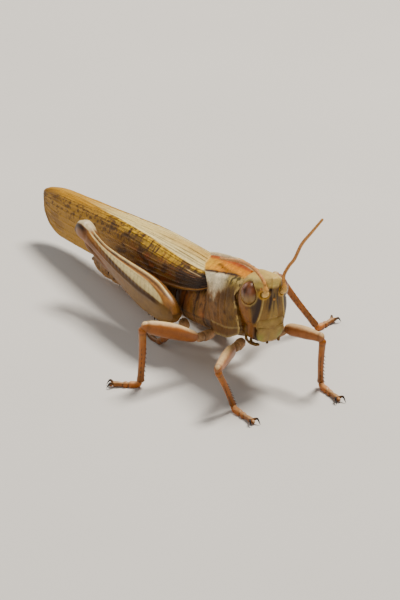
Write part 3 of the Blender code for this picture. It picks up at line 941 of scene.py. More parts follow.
    def eye_surface(self, u: Array, v: Array, side: Side) -> Array:
        """One compound eye, its first share running from its foot to its top.

        Args:
            u: Shares along the shape.
            v: Shares across or round it.
            side: The side.

        Returns:
            The points.
        """
        tall = -np.cos(u * np.pi)
        c, s = oval(v)
        girth = np.sqrt(np.maximum(0.0, 1 - tall ** 2))
        return mirrored(self.eye_centre, side) + stack(girth * c, girth * s, tall) * np.array(self.eye_radii)

    def eye_paint(self, at: Spots, side: Side) -> Coat:
        """Red brown above and olive below, with upright streaks and a dark patch that looks ahead.

        Args:
            at: The shell's points.
            side: The side.

        Returns:
            The colours.
        """
        local = (at.places - mirrored(self.eye_centre, side)) / np.array(self.eye_radii)
        along, up = local[:, 1], local[:, 2]
        coat = Coat.of(Tone.EYE_LOW, at).lay(Tone.EYE_TOP, fade(-0.25, 0.3, up))
        coat.lay(Tone.UMBER, 0.35 * (0.5 + 0.5 * np.sin(along * 17.0)) * fade(-0.9, 0.2, up))
        coat.lay(Tone.GENA, 0.5 * fade(0.78, 0.95, up))
        return coat.lay(Tone.UMBER, 0.8 * ridge(np.hypot(along + 0.3, (up - 0.42) * 0.7), 0.26))

    def simple_eyes(self, shop: Workshop) -> Mesh:
        """The three small beads: one in the ridge and one by each feeler.

        Args:
            shop: The workshop.

        Returns:
            The beads' mesh.
        """
        whole = bmesh.new()
        tint = whole.verts.layers.float_color.new(PAINT)
        for spot in self.beads:
            place = Matrix.Translation(shop.stance.body(np.array(spot)) * MM)
            bmesh.ops.create_icosphere(whole, subdivisions=3, radius=self.bead_radius * MM, matrix=place)
        for vert in whole.verts:
            vert[tint] = (*Tone.AMBER.rgb, 1.0)
        return whole

    def build(self, shop: Workshop) -> None:
        """Make the head's pieces.

        Args:
            shop: The workshop.
        """
        mesh = shop.shell(self.grid, Carved(self.surface, self.relief, self.inside), self.paint)
        shop.piece("head_capsule", mesh, FACE_HORN, ["head"])
        for side in Side:
            shape, paint = partial(self.eye_surface, side=side), partial(self.eye_paint, side=side)
            mesh = shop.shell(self.eye_grid, shape, paint)
            shop.piece(f"eye_dome_{side.word}", mesh, EYE, [f"eye_{side.word}"])
        shop.piece("simple_eyes", self.simple_eyes(shop), EYE)


@dataclass
class Feelers:
    """The two antennae: a stout base, a short second joint and a ringed thread."""

    routes: dict[Side, Sequence[Spot]] = field(default_factory=lambda: {
        Side.LEFT: (
            (1.15, -5.75, 6.05), (1.2, -6.45, 6.5), (1.15, -6.45, 7.4), (1.35, -6.25, 8.1), (1.9, -6.4, 9),
            (2.4, -6.9, 9.85), (3, -7.7, 11.65), (3.6, -9.3, 13.45), (4.18, -10.9, 15.2),
        ),
        Side.RIGHT: (
            (-1.15, -5.75, 6.05), (-1.25, -6.45, 6.5), (-1.3, -6.4, 7.4), (-1.3, -5.95, 8),
            (-1.3, -5.1, 8.5), (-1.28, -4, 8.87), (-1.25, -2.8, 9.02), (-1.2, -1.5, 9),
            (-1.1, 0.3, 8.8), (-1.1, 2.2, 8.5), (-1.05, 4.2, 8.17),
        ),
    })
    bulk: Stations = ((0, 0.272), (0.04, 0.34), (0.1, 0.34), (0.13, 0.2), (0.6, 0.2), (1, 0.15))
    joints: int = 28
    grid: Grid = (320, 20)

    def pinch(self, u: Array) -> Array:
        """How near each point is to a pinch between two rings of the thread, from 0 to 1."""
        joint = (u * self.joints) % 1.0
        return ridge(np.minimum(joint, 1 - joint), 0.1) * fade(0.1, 0.14, u)

    def radius(self, u: Array, v: Array) -> Array:
        """The feeler's radius, pinched between its rings and after its base."""
        pinch = 1.0 - 0.07 * self.pinch(u) - 0.2 * ridge(u - 0.08, 0.008)
        return smooth(self.bulk, u) * pinch * dome(u, 0.0, 0.02)

    def paint(self, at: Spots) -> Coat:
        """Orange brown, rustier along the middle, with a pale base and darker joins between the rings.

        Args:
            at: The shell's points.

        Returns:
            The colours.
        """
        gold = 0.2 + 0.6 * fade(0.2, 0.05, at.u) + 0.2 * fade(0.5, 1.0, at.u)
        coat = Coat.of(Tone.ORANGE, at).lay(Tone.GOLD, gold)
        coat.lay(Tone.PINK, 0.15)
        coat.lay(Tone.STRAW, 0.4 * fade(0.12, 0.04, at.u))
        return coat.lay(Tone.EARTH, 0.35 * self.pinch(at.u))

    def build(self, shop: Workshop) -> None:
        """Make both feelers.

        Args:
            shop: The workshop.
        """
        for side, points in self.routes.items():
            shape = Swept(Route(points), self.radius, self.radius, (0, 0.3, 1))
            mesh = shop.shell(self.grid, shape, self.paint)
            shop.piece(f"feeler_{side.word}", mesh, THREAD_HORN, [f"antenna_{side.word}"])


@dataclass
class Mouth:
    """The clypeus and labrum in front, the dark jaws at the sides, the lower lip and the palps."""

    head: Head
    clypeus_half: Stations = ((0, 1.95), (0.5, 1.85), (1, 1.72))
    clypeus_top: float = 2.95
    clypeus_low: float = 1.72
    sink: float = 0.03
    swell: float = 0.17
    inside: Spot = (0, -3.8, 2.4)
    thickness: float = 0.3
    lip_route: Sequence[Spot] = ((0, -4.92, 2), (0, -4.42, 0.95), (0, -4, 0))
    lip_half: Taper = Taper(
        ((0, 1.65), (0.3, 1.78), (0.6, 1.66), (0.85, 1.3), (1.0, 0.85)), 0.03, 0.14, rounding=0.5,
    )
    lip_thick: Taper = Taper(((0, 0.22), (0.4, 0.3), (1, 0.2)), 0.03, 0.08)
    under_route: Sequence[Spot] = ((0, -2.3, 1.9), (0, -2.25, 0.7), (0, -2.4, -0.08))
    under_half: Stations = ((0, 1.3), (0.6, 1.25), (1, 0.8))
    under_thick: Stations = ((0, 0.3), (0.9, 0.28), (1, 0.1))
    jaw_route: Sequence[Spot] = ((1.55, -3.75, 2.5), (1.5, -3.55, 1.4), (0.85, -3.3, 0.2))
    jaw_half: Stations = ((0, 0.75), (0.5, 0.75), (1, 0.3))
    jaw_thick: Stations = ((0, 0.7), (0.5, 0.6), (1, 0.3))
    lobe_route: Sequence[Spot] = ((1.75, -2.6, 2.3), (1.75, -2.75, 1.4), (1.3, -2.9, 0.5))
    lobe_girth: Taper = Taper(((0, 1.0), (1, 1.0)), 0.3, 0.35, scale=0.52)
    palp_radius: float = 0.17
    palp_joints: int = 4
    clypeus_grid: Grid = (24, 48)
    lip_grid: Grid = (48, 96)
    under_grid: Grid = (32, 64)
    jaw_grid: Grid = (36, 48)
    lobe_grid: Grid = (28, 32)
    palp_grid: Grid = (60, 16)
    palps: dict[str, Sequence[Spot]] = field(default_factory=lambda: {
        "maxillary": ((1.8, -2.4, 1.3), (2.1, -2.7, 0.4), (1.85, -3.3, -0.1), (1.35, -4.0, -0.27)),
        "labial": ((0.8, -1.6, 0.5), (0.95, -1.75, -0.35), (0.8, -2.3, -0.65), (0.5, -2.9, -0.67)),
    })

    def clypeus(self, u: Array, v: Array) -> Array:
        """The plate above the lip, lying on the face.

        Args:
            u: Shares along the shape.
            v: Shares across or round it.

        Returns:
            The points.
        """
        height = self.clypeus_top + (self.clypeus_low - self.clypeus_top) * u
        x = (v * 2 - 1) * smooth(self.clypeus_half, u)
        reach = smooth(self.head.half_width, height)
        power = self.head.power
        s = (1 - np.clip(np.abs(x) / reach, 0, 0.98) ** power) ** (1 / power)
        middle = smooth(self.head.widest, height)
        y = middle + (smooth(self.head.face, height) - middle) * s
        arch = np.clip(np.sin(np.pi * np.clip(u, 0, 1)), 0, 1) ** 0.8 * (1 - np.abs(v * 2 - 1) ** 4)
        return stack(x, y + self.sink - self.swell * arch, height)

    def front_paint(self, at: Spots) -> Coat:
        """Olive yellow, mossy at the lower corners, with a brown line across the top.

        Args:
            at: The shell's points.

        Returns:
            The colours.
        """
        x, z = np.abs(at.x), at.z
        spread = Mottle(5).rich(at.x * 2 + 20, z * 2)
        coat = Coat.of(Tone.LIP, at).lay(Tone.FACE, spread)
        coat.lay(Tone.MOSS, 0.6 * fade(0.6, 1.3, x) * fade(1.6, 0.7, z))
        coat.lay(Tone.EARTH, 0.3 * ridge(z - 1.72, 0.05) + 0.25 * ridge(z - 2.92, 0.1))
        return coat.lay(Tone.MOCHA, 0.4 * ridge(x - 1.72, 0.1))

    def lip_relief(self, at: Spots) -> Array:
        """A groove down the middle and a notch in the free edge.

        Args:
            at: The shell's points.

        Returns:
            How far out each point moves.
        """
        groove = 0.08 * ridge(at.x, 0.1) * fade(0.2, 0.4, at.u)
        notch = 0.12 * ridge(at.x, 0.2) * fade(0.9, 1.0, at.u)
        return 0.05 * ridge(np.abs(at.x) - 0.6, 0.35) - groove - notch

    def jaw_paint(self, at: Spots) -> Coat:
        """Blue-black by the lip, brown at the root and on the outer side.

        Args:
            at: The shell's points.

        Returns:
            The colours.
        """
        outer = fade(1.75, 2.05, np.abs(at.x))
        coat = Coat.of(Tone.INK, at).lay(Tone.EARTH, 0.3 + 0.5 * fade(0.8, 0.3, at.u))
        return coat.lay(Tone.GENA, np.maximum(0.9 * fade(0.25, 0.05, at.u), 0.8 * outer))

    def palp_girth(self, u: Array, v: Array) -> Array:
        """A feeling finger's radius, pinched at its joints."""
        pinch = 1 - 0.2 * ridge(((u * self.palp_joints + 0.5) % 1.0) - 0.5, 0.14)
        return self.palp_radius * pinch * dome(u, 0.03, 0.1)

    def palp_paint(self, at: Spots) -> Coat:
        """Pale with brown joints."""
        joint = (at.u * self.palp_joints) % 1.0
        return Coat.of(Tone.EARTH, at).lay(Tone.OLIVE, 0.9 * np.sin(np.pi * joint))

    def build(self, shop: Workshop) -> None:
        """Make the mouth's pieces.

        Args:
            shop: The workshop.
        """
        mesh = shop.plate(self.clypeus_grid, self.clypeus, self.front_paint, self.inside, self.thickness)
        shop.piece("clypeus_plate", mesh, FACE_HORN)
        lip = Swept(Route(self.lip_route), self.lip_half, self.lip_thick, (0, 1, 0), 3.0)
        mesh = shop.shell(self.lip_grid, Carved(lip, self.lip_relief), self.front_paint)
        shop.piece("upper_lip", mesh, FACE_HORN, ["labrum"])
        lip = Swept(Route(self.under_route), self.under_half, self.under_thick, (0, 1, 0), 2.6)
        mesh = shop.shell(self.under_grid, Carved(lip, self.lip_relief), self.palp_paint)
        shop.piece("lower_lip", mesh, FACE_HORN, ["labium"])
        for side in Side:
            self.side_parts(shop, side)

    def side_parts(self, shop: Workshop, side: Side) -> None:
        """Make a side's jaw, inner lobe and two feeling fingers.

        Args:
            shop: The workshop.
            side: The side.
        """
        jaw = Swept(Route(mirrored(self.jaw_route, side)), self.jaw_half, self.jaw_thick, (0, 1, 0), 2.6)
        mesh = shop.shell(self.jaw_grid, jaw, self.jaw_paint)
        shop.piece(f"jaw_{side.word}", mesh, JAW_HORN, [f"mandible_{side.word}"])
        lobe = Swept(Route(mirrored(self.lobe_route, side)), self.lobe_girth, self.lobe_girth, (0, 1, 0))
        mesh = shop.shell(self.lobe_grid, lobe, self.palp_paint)
        shop.piece(f"maxilla_{side.word}", mesh, HORN)
        for kind, points in self.palps.items():
            shape = Swept(Route(mirrored(points, side)), self.palp_girth, self.palp_girth, (1, 0, 0.1))
            mesh = shop.shell(self.palp_grid, shape, self.palp_paint)
            shop.piece(f"{kind}_palp_{side.word}", mesh, LEG_HORN, [f"palp_{kind}_{side.word}"])


@dataclass
class Saddle:
    """The pronotum: a saddle with a middle crest, cross grooves and rolled margins."""

    crest: Stations = ((-1.8, 8.2), (0.1, 8.38), (2.4, 8.42), (6, 8.15), (8.2, 7.8))
    shoulder_out: Stations = ((-2.5, 2.05), (1, 2.35), (5.3, 2.8), (8, 2.9))
    shoulder_height: Stations = ((-2.5, 6.65), (2, 6.75), (5.3, 6.8), (8, 6.75))
    lobe_out: Stations = ((-2.6, 2.95), (0.5, 3.2), (3.7, 3.45))
    lobe_low: Stations = ((-2.5, 1.1), (-1, 0.4), (0.6, -0.1), (2.4, -0.12), (3.6, 0.7))
    front: Stations = (
        (0, -1.7), (0.2, -2), (0.42, -2.3), (0.52, -1.6), (0.66, -2.5), (0.9, -2.7), (1, -2.4),
    )
    rear: Stations = ((0, 8.15), (0.2, 6.9), (0.42, 4.6), (0.55, 3.75), (0.8, 3.7), (0.93, 3.5), (1, 2.6))
    belt_height: Stations = ((-2.6, 1.75), (0.5, 1.2), (3.6, 1.35))
    grooves: Sequence[Span] = ((0.2, 0.06), (1.5, 0.08), (3.1, 0.1))
    thickness: float = 0.3
    inside: Spot = (0, 2, 3)
    blots: Sequence[Spot] = (
        (2.9, 4, 0.28), (1.9, 3.7, 0.25), (0.2, 3.1, 0.3), (-1, 2.6, 0.35), (2.2, 2.4, 0.3),
    )
    grid: Grid = (110, 200)

    def surface(self, u: Array, v: Array) -> Array:
        """The plain saddle; the second share runs over the crest from side to side.

        Args:
            u: Shares along the shape.
            v: Shares across or round it.

        Returns:
            The points.
        """
        hand = np.where(v < 0.5, 1.0, -1.0)
        down = np.abs(v - 0.5) * 2
        y = smooth(self.front, down) * (1 - u) + smooth(self.rear, down) * u
        crest, lobe = smooth(self.crest, y), smooth(self.lobe_out, y)
        shoulder = smooth(self.shoulder_height, y)
        outs = (0.0, 0.3, smooth(self.shoulder_out, y), lobe, lobe - 0.25)
        heights = (crest, crest - 0.3, shoulder, shoulder - 1.1, smooth(self.lobe_low, y))
        out = curve((0.0, 0.08, 0.4, 0.7, 1.0), outs, down)
        return stack(hand * out, y, curve((0.0, 0.08, 0.4, 0.5, 1.0), heights, down))

    def relief(self, at: Spots) -> Array:
        """Crest, cross grooves, rolled margins and a rumpled rear half.

        Args:
            at: The shell's points.

        Returns:
            How far out each point moves.
        """
        down = np.abs(at.v - 0.5) * 2
        y = at.y
        amount = 0.1 * ridge(down, 0.025)
        for place, depth in self.grooves:
            wander = 0.25 * np.sin(down * 6.0 + place)
            amount -= depth * ridge(y - place - wander, 0.13) * (0.5 + 0.5 * fade(0.0, 0.2, down))
        amount += 0.05 * ridge(at.u, 0.03) + 0.03 * ridge(1 - at.u, 0.02) + 0.04 * ridge(1 - down, 0.03)
        amount -= 0.05 * ridge(at.z - self.belt(y), 0.1) * fade(0.6, 0.7, down)
        rumple = Mottle(21).rich(y * 2.2 + 40, down * 9.0) - 0.5
        return amount + 0.1 * rumple * fade(0.03, 0.1, down)

    def belt(self, y: Array) -> Array:
        """The height of the pale line above the side lobe's lower edge."""
        return smooth(self.belt_height, y)

    def paint(self, at: Spots) -> Coat:
        """Orange disc between a crest with a painted highlight and a dark line, a cream shoulder partly
        brightened by painted light, and a brown side lobe.

        Args:
            at: The shell's points.

        Returns:
            The colours.
        """
        down = np.abs(at.v - 0.5) * 2
        y, z = at.y, at.z
        spread = Mottle(22).rich(y * 1.3 + 40, down * 7.0)
        fine = Mottle(23).rich(y * 3.4 + 40, down * 22.0)
        disc = Coat.of(Tone.DISC, at).lay(Tone.GOLD, 0.8 * fade(3.0, 6.0, y) + 0.2 + 0.6 * (spread - 0.5))
        disc.lay(Tone.RUST, 0.7 * fade(0.2, 0.08, down) * fade(-2.0, 0.5, y) + 0.25 * fade(0.55, 0.7, fine))
        lobe = Coat.of(Tone.LOBE, at).lay(Tone.ROSE, 0.5 * spread)
        lobe.lay(Tone.OLIVE, 0.7 * fade(1.6, -1.0, y) + 0.3 * fade(0.5, 0.7, spread))
        lobe.lay(Tone.BARK, 0.38 * fade(0.52, 0.66, fine))
        dark = ridge(z - 4.9 + 0.25 * (y - 1.0), 0.8) * ridge(y + 0.1, 1.8)
        lobe.lay(Tone.BARK, 0.65 * dark * (0.5 + spread))
        for spot_y, spot_z, size in self.blots:
            lobe.lay(Tone.BARK, 0.8 * ridge(np.hypot(y - spot_y, z - spot_z), size))
        lobe.lay(Tone.ROSE, 0.7 * ridge(np.hypot(y - 2.6, z - 5.5), 0.75))
        belt = z - self.belt(y)
        lobe.lay(Tone.EARTH, 0.75 * fade(0.05, -0.2, belt))
        lobe.lay(Tone.STRAW, 0.32 * ridge(belt, 0.1) * (0.4 + spread))
        shoulder = down + 0.018 * (5.0 - y)
        coat = disc.lay(lobe, fade(0.375, 0.415, shoulder + 0.04 * (fine - 0.5)))
        # Cream shoulder patch: partly its own pale tone and partly painted light on its up-turned face.
        cream = fade(0.0, 1.7, y + 1.6 * (spread - 0.5)) * fade(0.37, 0.4, shoulder)
        cream *= fade(0.66, 0.47, shoulder + 0.16 * (spread - 0.5) + 0.08 * (fine - 0.5))
        coat.lay(Tone.PEARL, 0.94 * cream)
        front_corner = fade(1.6, -0.2, y) * ridge(shoulder - 0.46, 0.07)
        coat.lay(Tone.MOSS, 0.4 * front_corner)
        coat.lay(Tone.VERTEX, 0.85 * front_corner * fade(0.56, 0.42, fine))
        coat.lay(Tone.BARK, 0.7 * front_corner * fade(0.54, 0.66, fine))
        line = ridge(shoulder - 0.375, 0.022) * fade(-2.0, -0.5, y)
        coat.lay(Tone.BARK, line * (0.55 + spread))
        dots = ridge(at.u - 0.04, 0.045) * fade(0.5, 0.42, fine) * fade(0.3, 0.4, down)
        coat.lay(Tone.VERTEX, 0.7 * dots)
        rim = 0.6 * ridge(1 - at.u, 0.02) * fade(0.45, 0.35, down)
        coat.lay(Tone.STRAW, rim + 0.3 * ridge(1 - down, 0.02))
        coat.lay(Tone.BARK, 0.6 * ridge(1 - at.u, 0.02) * fade(0.42, 0.52, down))
        coat.lay(Tone.RUST, 0.85 * ridge(down - 0.1, 0.03))
        # Painted highlight along the top of the crest.
        coat.lay(Tone.PEARL, 0.9 * fade(0.075, 0.05, down))
        return coat.lay(Tone.BARK, 0.6 * fade(0.012, 0.004, at.u) * fade(0.35, 0.45, down))

    def build(self, shop: Workshop) -> None:
        """Make the saddle.

        Args:
            shop: The workshop.
        """
        shape = Carved(self.surface, self.relief, self.inside)
        mesh = shop.plate(self.grid, shape, self.paint, self.inside, self.thickness)
        shop.piece("pronotum_saddle", mesh, SADDLE_HORN, ["pronotum"])


@dataclass
class Trunk:
    """The three trunk rings, the neck and the ringed abdomen with its tail."""

    thorax: Sequence[tuple[str, Span, float]] = (
        ("prothorax", (-1.7, 3.2), 0.0), ("mesothorax", (3.25, 7.3), 1.0), ("metathorax", (7.35, 12.6), 1.0),
    )
    abdomen: Span = (12.65, 36.3)
    half_width: Stations = (
        (-1.7, 2.2), (0, 2.65), (3.2, 2.7), (4, 3), (7.3, 3.25), (10.5, 3.2), (12.6, 2.85), (20, 2.7),
        (28, 2.3), (34, 1.7), (36.3, 1.15),
    )
    top: Stations = (
        (-1.7, 6.6), (0, 7.2), (2.4, 7), (3.4, 5.4), (7.3, 5.35), (12.6, 5.2), (20, 4.8), (28, 4.1),
        (34, 3.2), (36.3, 2.5),
    )
    under: Stations = (
        (-1.7, 0.4), (0, -0.35), (4, -0.7), (8, -0.85), (12.6, -0.75), (20, -0.95), (28, -1.1),
        (34, -0.85), (36.3, 0.1),
    )
    waist: float = 0.38
    rings: int = 8
    ring_step: float = 0.09
    lean: float = -0.16
    valves: Sequence[tuple[str, float, float]] = (("upper", 1.35, 0.25), ("lower", 0.55, -0.3))
    valve_half: Taper = Taper(((0, 0.75), (0.6, 0.6), (1, 0.26)), 0, 0.06)
    valve_thick: Taper = Taper(((0, 0.32), (0.6, 0.3), (1, 0.24)), 0, 0.08)
    cercus_route: Sequence[Spot] = ((0.9, 36, 2.05), (1.15, 37.38, 2.15))
    cercus_girth: Taper = Taper(((0, 1.0), (0.5, 0.95), (1, 0.4)), 0.0, 0.1, scale=0.27)
    neck_grid: Grid = (24, 80)
    thorax_grid: Grid = (70, 140)
    abdomen_grid: Grid = (280, 110)
    valve_grid: Grid = (40, 32)
    cercus_grid: Grid = (24, 20)

    def surface(self, u: Array, v: Array, span: Span, lean: Array | float) -> Array:
        """A stretch of the trunk, flat below and domed above, leaning forward at the top.

        Args:
            u: Shares along the shape.
            v: Shares across or round it.
            span: Where the stretch begins and ends.
            lean: How far each point leans for its height.

        Returns:
            The points.
        """
        y = span[0] + (span[1] - span[0]) * u
        c, s = oval(v, 2.4)
        top, under = smooth(self.top, y), smooth(self.under, y)
        waist = under + (top - under) * self.waist
        height = waist + s * np.where(s > 0, top - waist, waist - under)
        pinch = 1.0 - 0.16 * np.maximum(0.0, s)
        return stack(smooth(self.half_width, y) * c * pinch, y + lean * (height - waist), height)

    def flank(self, u: Array, v: Array, span: Span, first: float) -> Array:
        """A thorax ring, leaning by the first share of the full lean in front and all of it behind."""
        return self.surface(u, v, span, self.lean * (first + (1 - first) * u))

    def flank_relief(self, at: Spots) -> Array:
        """Two bulging side plates to a ring, parted by a slanting seam, and a keeled breast.

        Args:
            at: The shell's points.

        Returns:
            How far out each point moves.
        """
        z = at.z
        flank = fade(0.35, 0.75, np.abs(np.cos(2 * np.pi * at.v)))
        swell = np.abs(np.sin(2 * np.pi * at.u)) ** 0.5
        rumple = Mottle(31).rich(at.y * 1.8 + 30, z * 1.8 + 9) - 0.5
        amount = flank * (0.07 * swell - 0.06 * ridge(at.u - 0.5, 0.04)) + 0.14 * rumple
        amount += 0.08 * flank * ridge(at.u - 0.25 + 0.03 * (z - 2.5), 0.07) * fade(0.8, 1.6, z)
        amount -= 0.06 * ridge(z - 1.0, 0.1) * flank
        return amount - 0.08 * ridge(at.u, 0.03) - 0.08 * ridge(1 - at.u, 0.03)

    def flank_paint(self, at: Spots) -> Coat:
        """Mottled olive brown with dark seams, painted shade over a little rust-red behind by the hind
        thigh's root, painted shade nearly black under the wing, pale below.

        Args:
            at: The shell's points.

        Returns:
            The colours.
        """
        y, z = at.y, at.z
        spread = Mottle(32).rich(y * 1.2 + 30, z * 1.2 + 5)
        fine = Mottle(34).rich(y * 4.0 + 30, z * 2.2 + 5)
        coat = Coat.of(Tone.ROSE, at).lay(Tone.LOBE, 0.3 + 0.6 * fade(0.3, 0.6, spread))
        coat.lay(Tone.OLIVE, 0.3)
        coat.lay(Tone.BARK, 0.7 * fade(0.52, 0.64, fine) * fade(1.0, 3.0, z))
        # Painted shade, nearly black, on the upper flank under the wing.
        coat.lay(Tone.BARK, 0.8 * fade(3.8, 4.5, z))
        # Painted shade behind, next to the hind thigh's root.
        coat.lay(Tone.BARK, 0.7 * fade(8.6, 9.6, y) * fade(1.0, 2.0, z))
        coat.lay(Tone.RUST, 0.2 * fade(7.8, 8.4, y) * fade(12.0, 9.5, y) * fade(1.0, 2.0, z))
        seam = ridge(at.u - 0.5 + 0.02 * (z - 2.5), 0.03) + ridge(at.u, 0.04) + ridge(1 - at.u, 0.04)
        coat.lay(Tone.UMBER, 0.8 * np.clip(seam, 0, 1) + 0.5 * ridge(z - 1.0, 0.1))
        coat.lay(Tone.ORANGE, 0.5 * ridge(np.hypot(y - 5.6, z - 1.5), 0.5))
        coat.lay(Tone.SLATE, 0.85 * ridge(np.hypot(y - 4.6, (z - 0.5) * 0.8), 0.6))
        return coat.lay(Tone.BELLY, 0.7 * fade(-0.1, -0.6, z))

    def ring_surface(self, u: Array, v: Array) -> Array:
        """The abdomen, each ring flaring to overlap the next.

        Args:
            u: Shares along the shape.
            v: Shares across or round it.

        Returns:
            The points.
        """
        spot = self.surface(u, v, self.abdomen, self.lean * (1 - u) ** 2)
        phase = np.clip((u * self.rings) % 1.0, 0, 1)
        lip = self.ring_step * (fade(0.0, 0.82, phase) - 1 - fade(0.9, 1.0, phase))
        y = self.abdomen[0] + (self.abdomen[1] - self.abdomen[0]) * u
        waist = stack(0.0 * y, spot[:, 1], smooth(self.under, y) * 0.62 + smooth(self.top, y) * 0.38)
        scale = 1.0 + lip * np.where((u > 0.002) & (u < 0.998), 1.0, 0.0) * 0.8
        rounding = smooth(((0.0, 1.0), (0.97, 1.0), (1.0, 0.82)), u)
        return waist + (spot - waist) * (scale * rounding)[:, None]

    def ring_relief(self, at: Spots) -> Array:
        """The fold between back plates and belly plates, and a breathing hole by each.

        Args:
            at: The shell's points.

        Returns:
            How far out each point moves.
        """
        fold = ridge(at.z - smooth(self.under, at.y) - 1.15, 0.12)
        phase = (at.u * self.rings) % 1.0
        hole = np.hypot((phase - 0.3) * 3.0, at.z - smooth(self.under, at.y) - 1.75)
        return -0.1 * fold - 0.07 * ridge(hole, 0.16) + 0.04 * ridge(hole - 0.25, 0.08)

    def ring_paint(self, at: Spots) -> Coat:
        """Tan, darker at each ring's root with a pale rear rim, and a pale belly.

        Args:
            at: The shell's points.

        Returns:
            The colours.
        """
        phase = (at.u * self.rings) % 1.0
        rise = at.z - smooth(self.under, at.y)
        spread = Mottle(33).rich(at.y * 1.2 + 30, np.abs(at.v - 0.25) * 20)
        coat = Coat.of(Tone.LOBE, at).lay(Tone.TAN, spread)
        coat.lay(Tone.EARTH, 0.6 * fade(0.4, 0.0, phase) + 0.4 * fade(0.55, 0.7, spread))
        coat.lay(Tone.STRAW, 0.3 * ridge(phase - 0.84, 0.05))
        coat.lay(Tone.TAN, 0.8 * fade(1.3, 0.9, rise))
        hole = np.hypot((phase - 0.3) * 3.0, rise - 1.75)
        coat.lay(Tone.UMBER, 0.8 * ridge(hole, 0.14))
        return coat.lay(Tone.BARK, 0.55 * ridge(rise - 1.15, 0.1))

    def neck(self, u: Array, v: Array) -> Array:
        """The folded skin between head and trunk, filling the saddle's mouth.

        Args:
            u: Shares along the shape.
            v: Shares across or round it.

        Returns:
            The points.
        """
        c, s = oval(v, 2.6)
        fold = 1.0 + 0.02 * np.cos(u * 6 * np.pi)
        return stack(2.58 * c * fold, -2.45 + u * 1.2, 3.75 + 3.12 * s * fold)

    def neck_paint(self, at: Spots) -> Coat:
        """Tan like the cheeks, with painted shade in the valleys of the folds."""
        coat = Coat.of(Tone.GENA, at).lay(Tone.OLIVE, fade(3.0, 6.0, at.z))
        # Painted shade in the valleys of the folds.
        return coat.lay(Tone.BARK, 0.35 - 0.35 * np.cos(at.u * 6 * np.pi))

    def tail_paint(self, at: Spots) -> Coat:
        """Brown with black tips."""
        return Coat.of(Tone.TAN, at).lay(Tone.UMBER, 0.9 * fade(0.55, 0.95, at.u))

    def build(self, shop: Workshop) -> None:
        """Make the trunk's pieces.

        Args:
            shop: The workshop.
        """
        mesh = shop.shell(self.neck_grid, self.neck, self.neck_paint)
        shop.piece("neck_skin", mesh, PLEURA_HORN)
        for name, span, first in self.thorax:
            shape = Carved(partial(self.flank, span=span, first=first), self.flank_relief)
            mesh = shop.shell(self.thorax_grid, shape, self.flank_paint)
            shop.piece(f"{name}_ring", mesh, PLEURA_HORN, [name])
        mesh = shop.shell(self.abdomen_grid, Carved(self.ring_surface, self.ring_relief), self.ring_paint)
        shop.piece("abdomen_rings", mesh, HORN, ["abdomen"])
        for name, height, tilt in self.valves:
            route = Route(((0, 36.0, height), (0, 37.2, height + 0.1 * tilt), (0, 38.15, height + tilt)))
            shape = Swept(route, self.valve_half, self.valve_thick, (0, 0, 1), 2.4)
            mesh = shop.shell(self.valve_grid, shape, self.tail_paint)
            shop.piece(f"valve_{name}", mesh, HORN, [f"ovipositor_{name}"])
        for side in Side:
            route = Route(mirrored(self.cercus_route, side))
            shape = Swept(route, self.cercus_girth, self.cercus_girth, (0, 0, 1))
            mesh = shop.shell(self.cercus_grid, shape, self.tail_paint)
            shop.piece(f"cercus_cone_{side.word}", mesh, HORN, [f"cercus_{side.word}"])


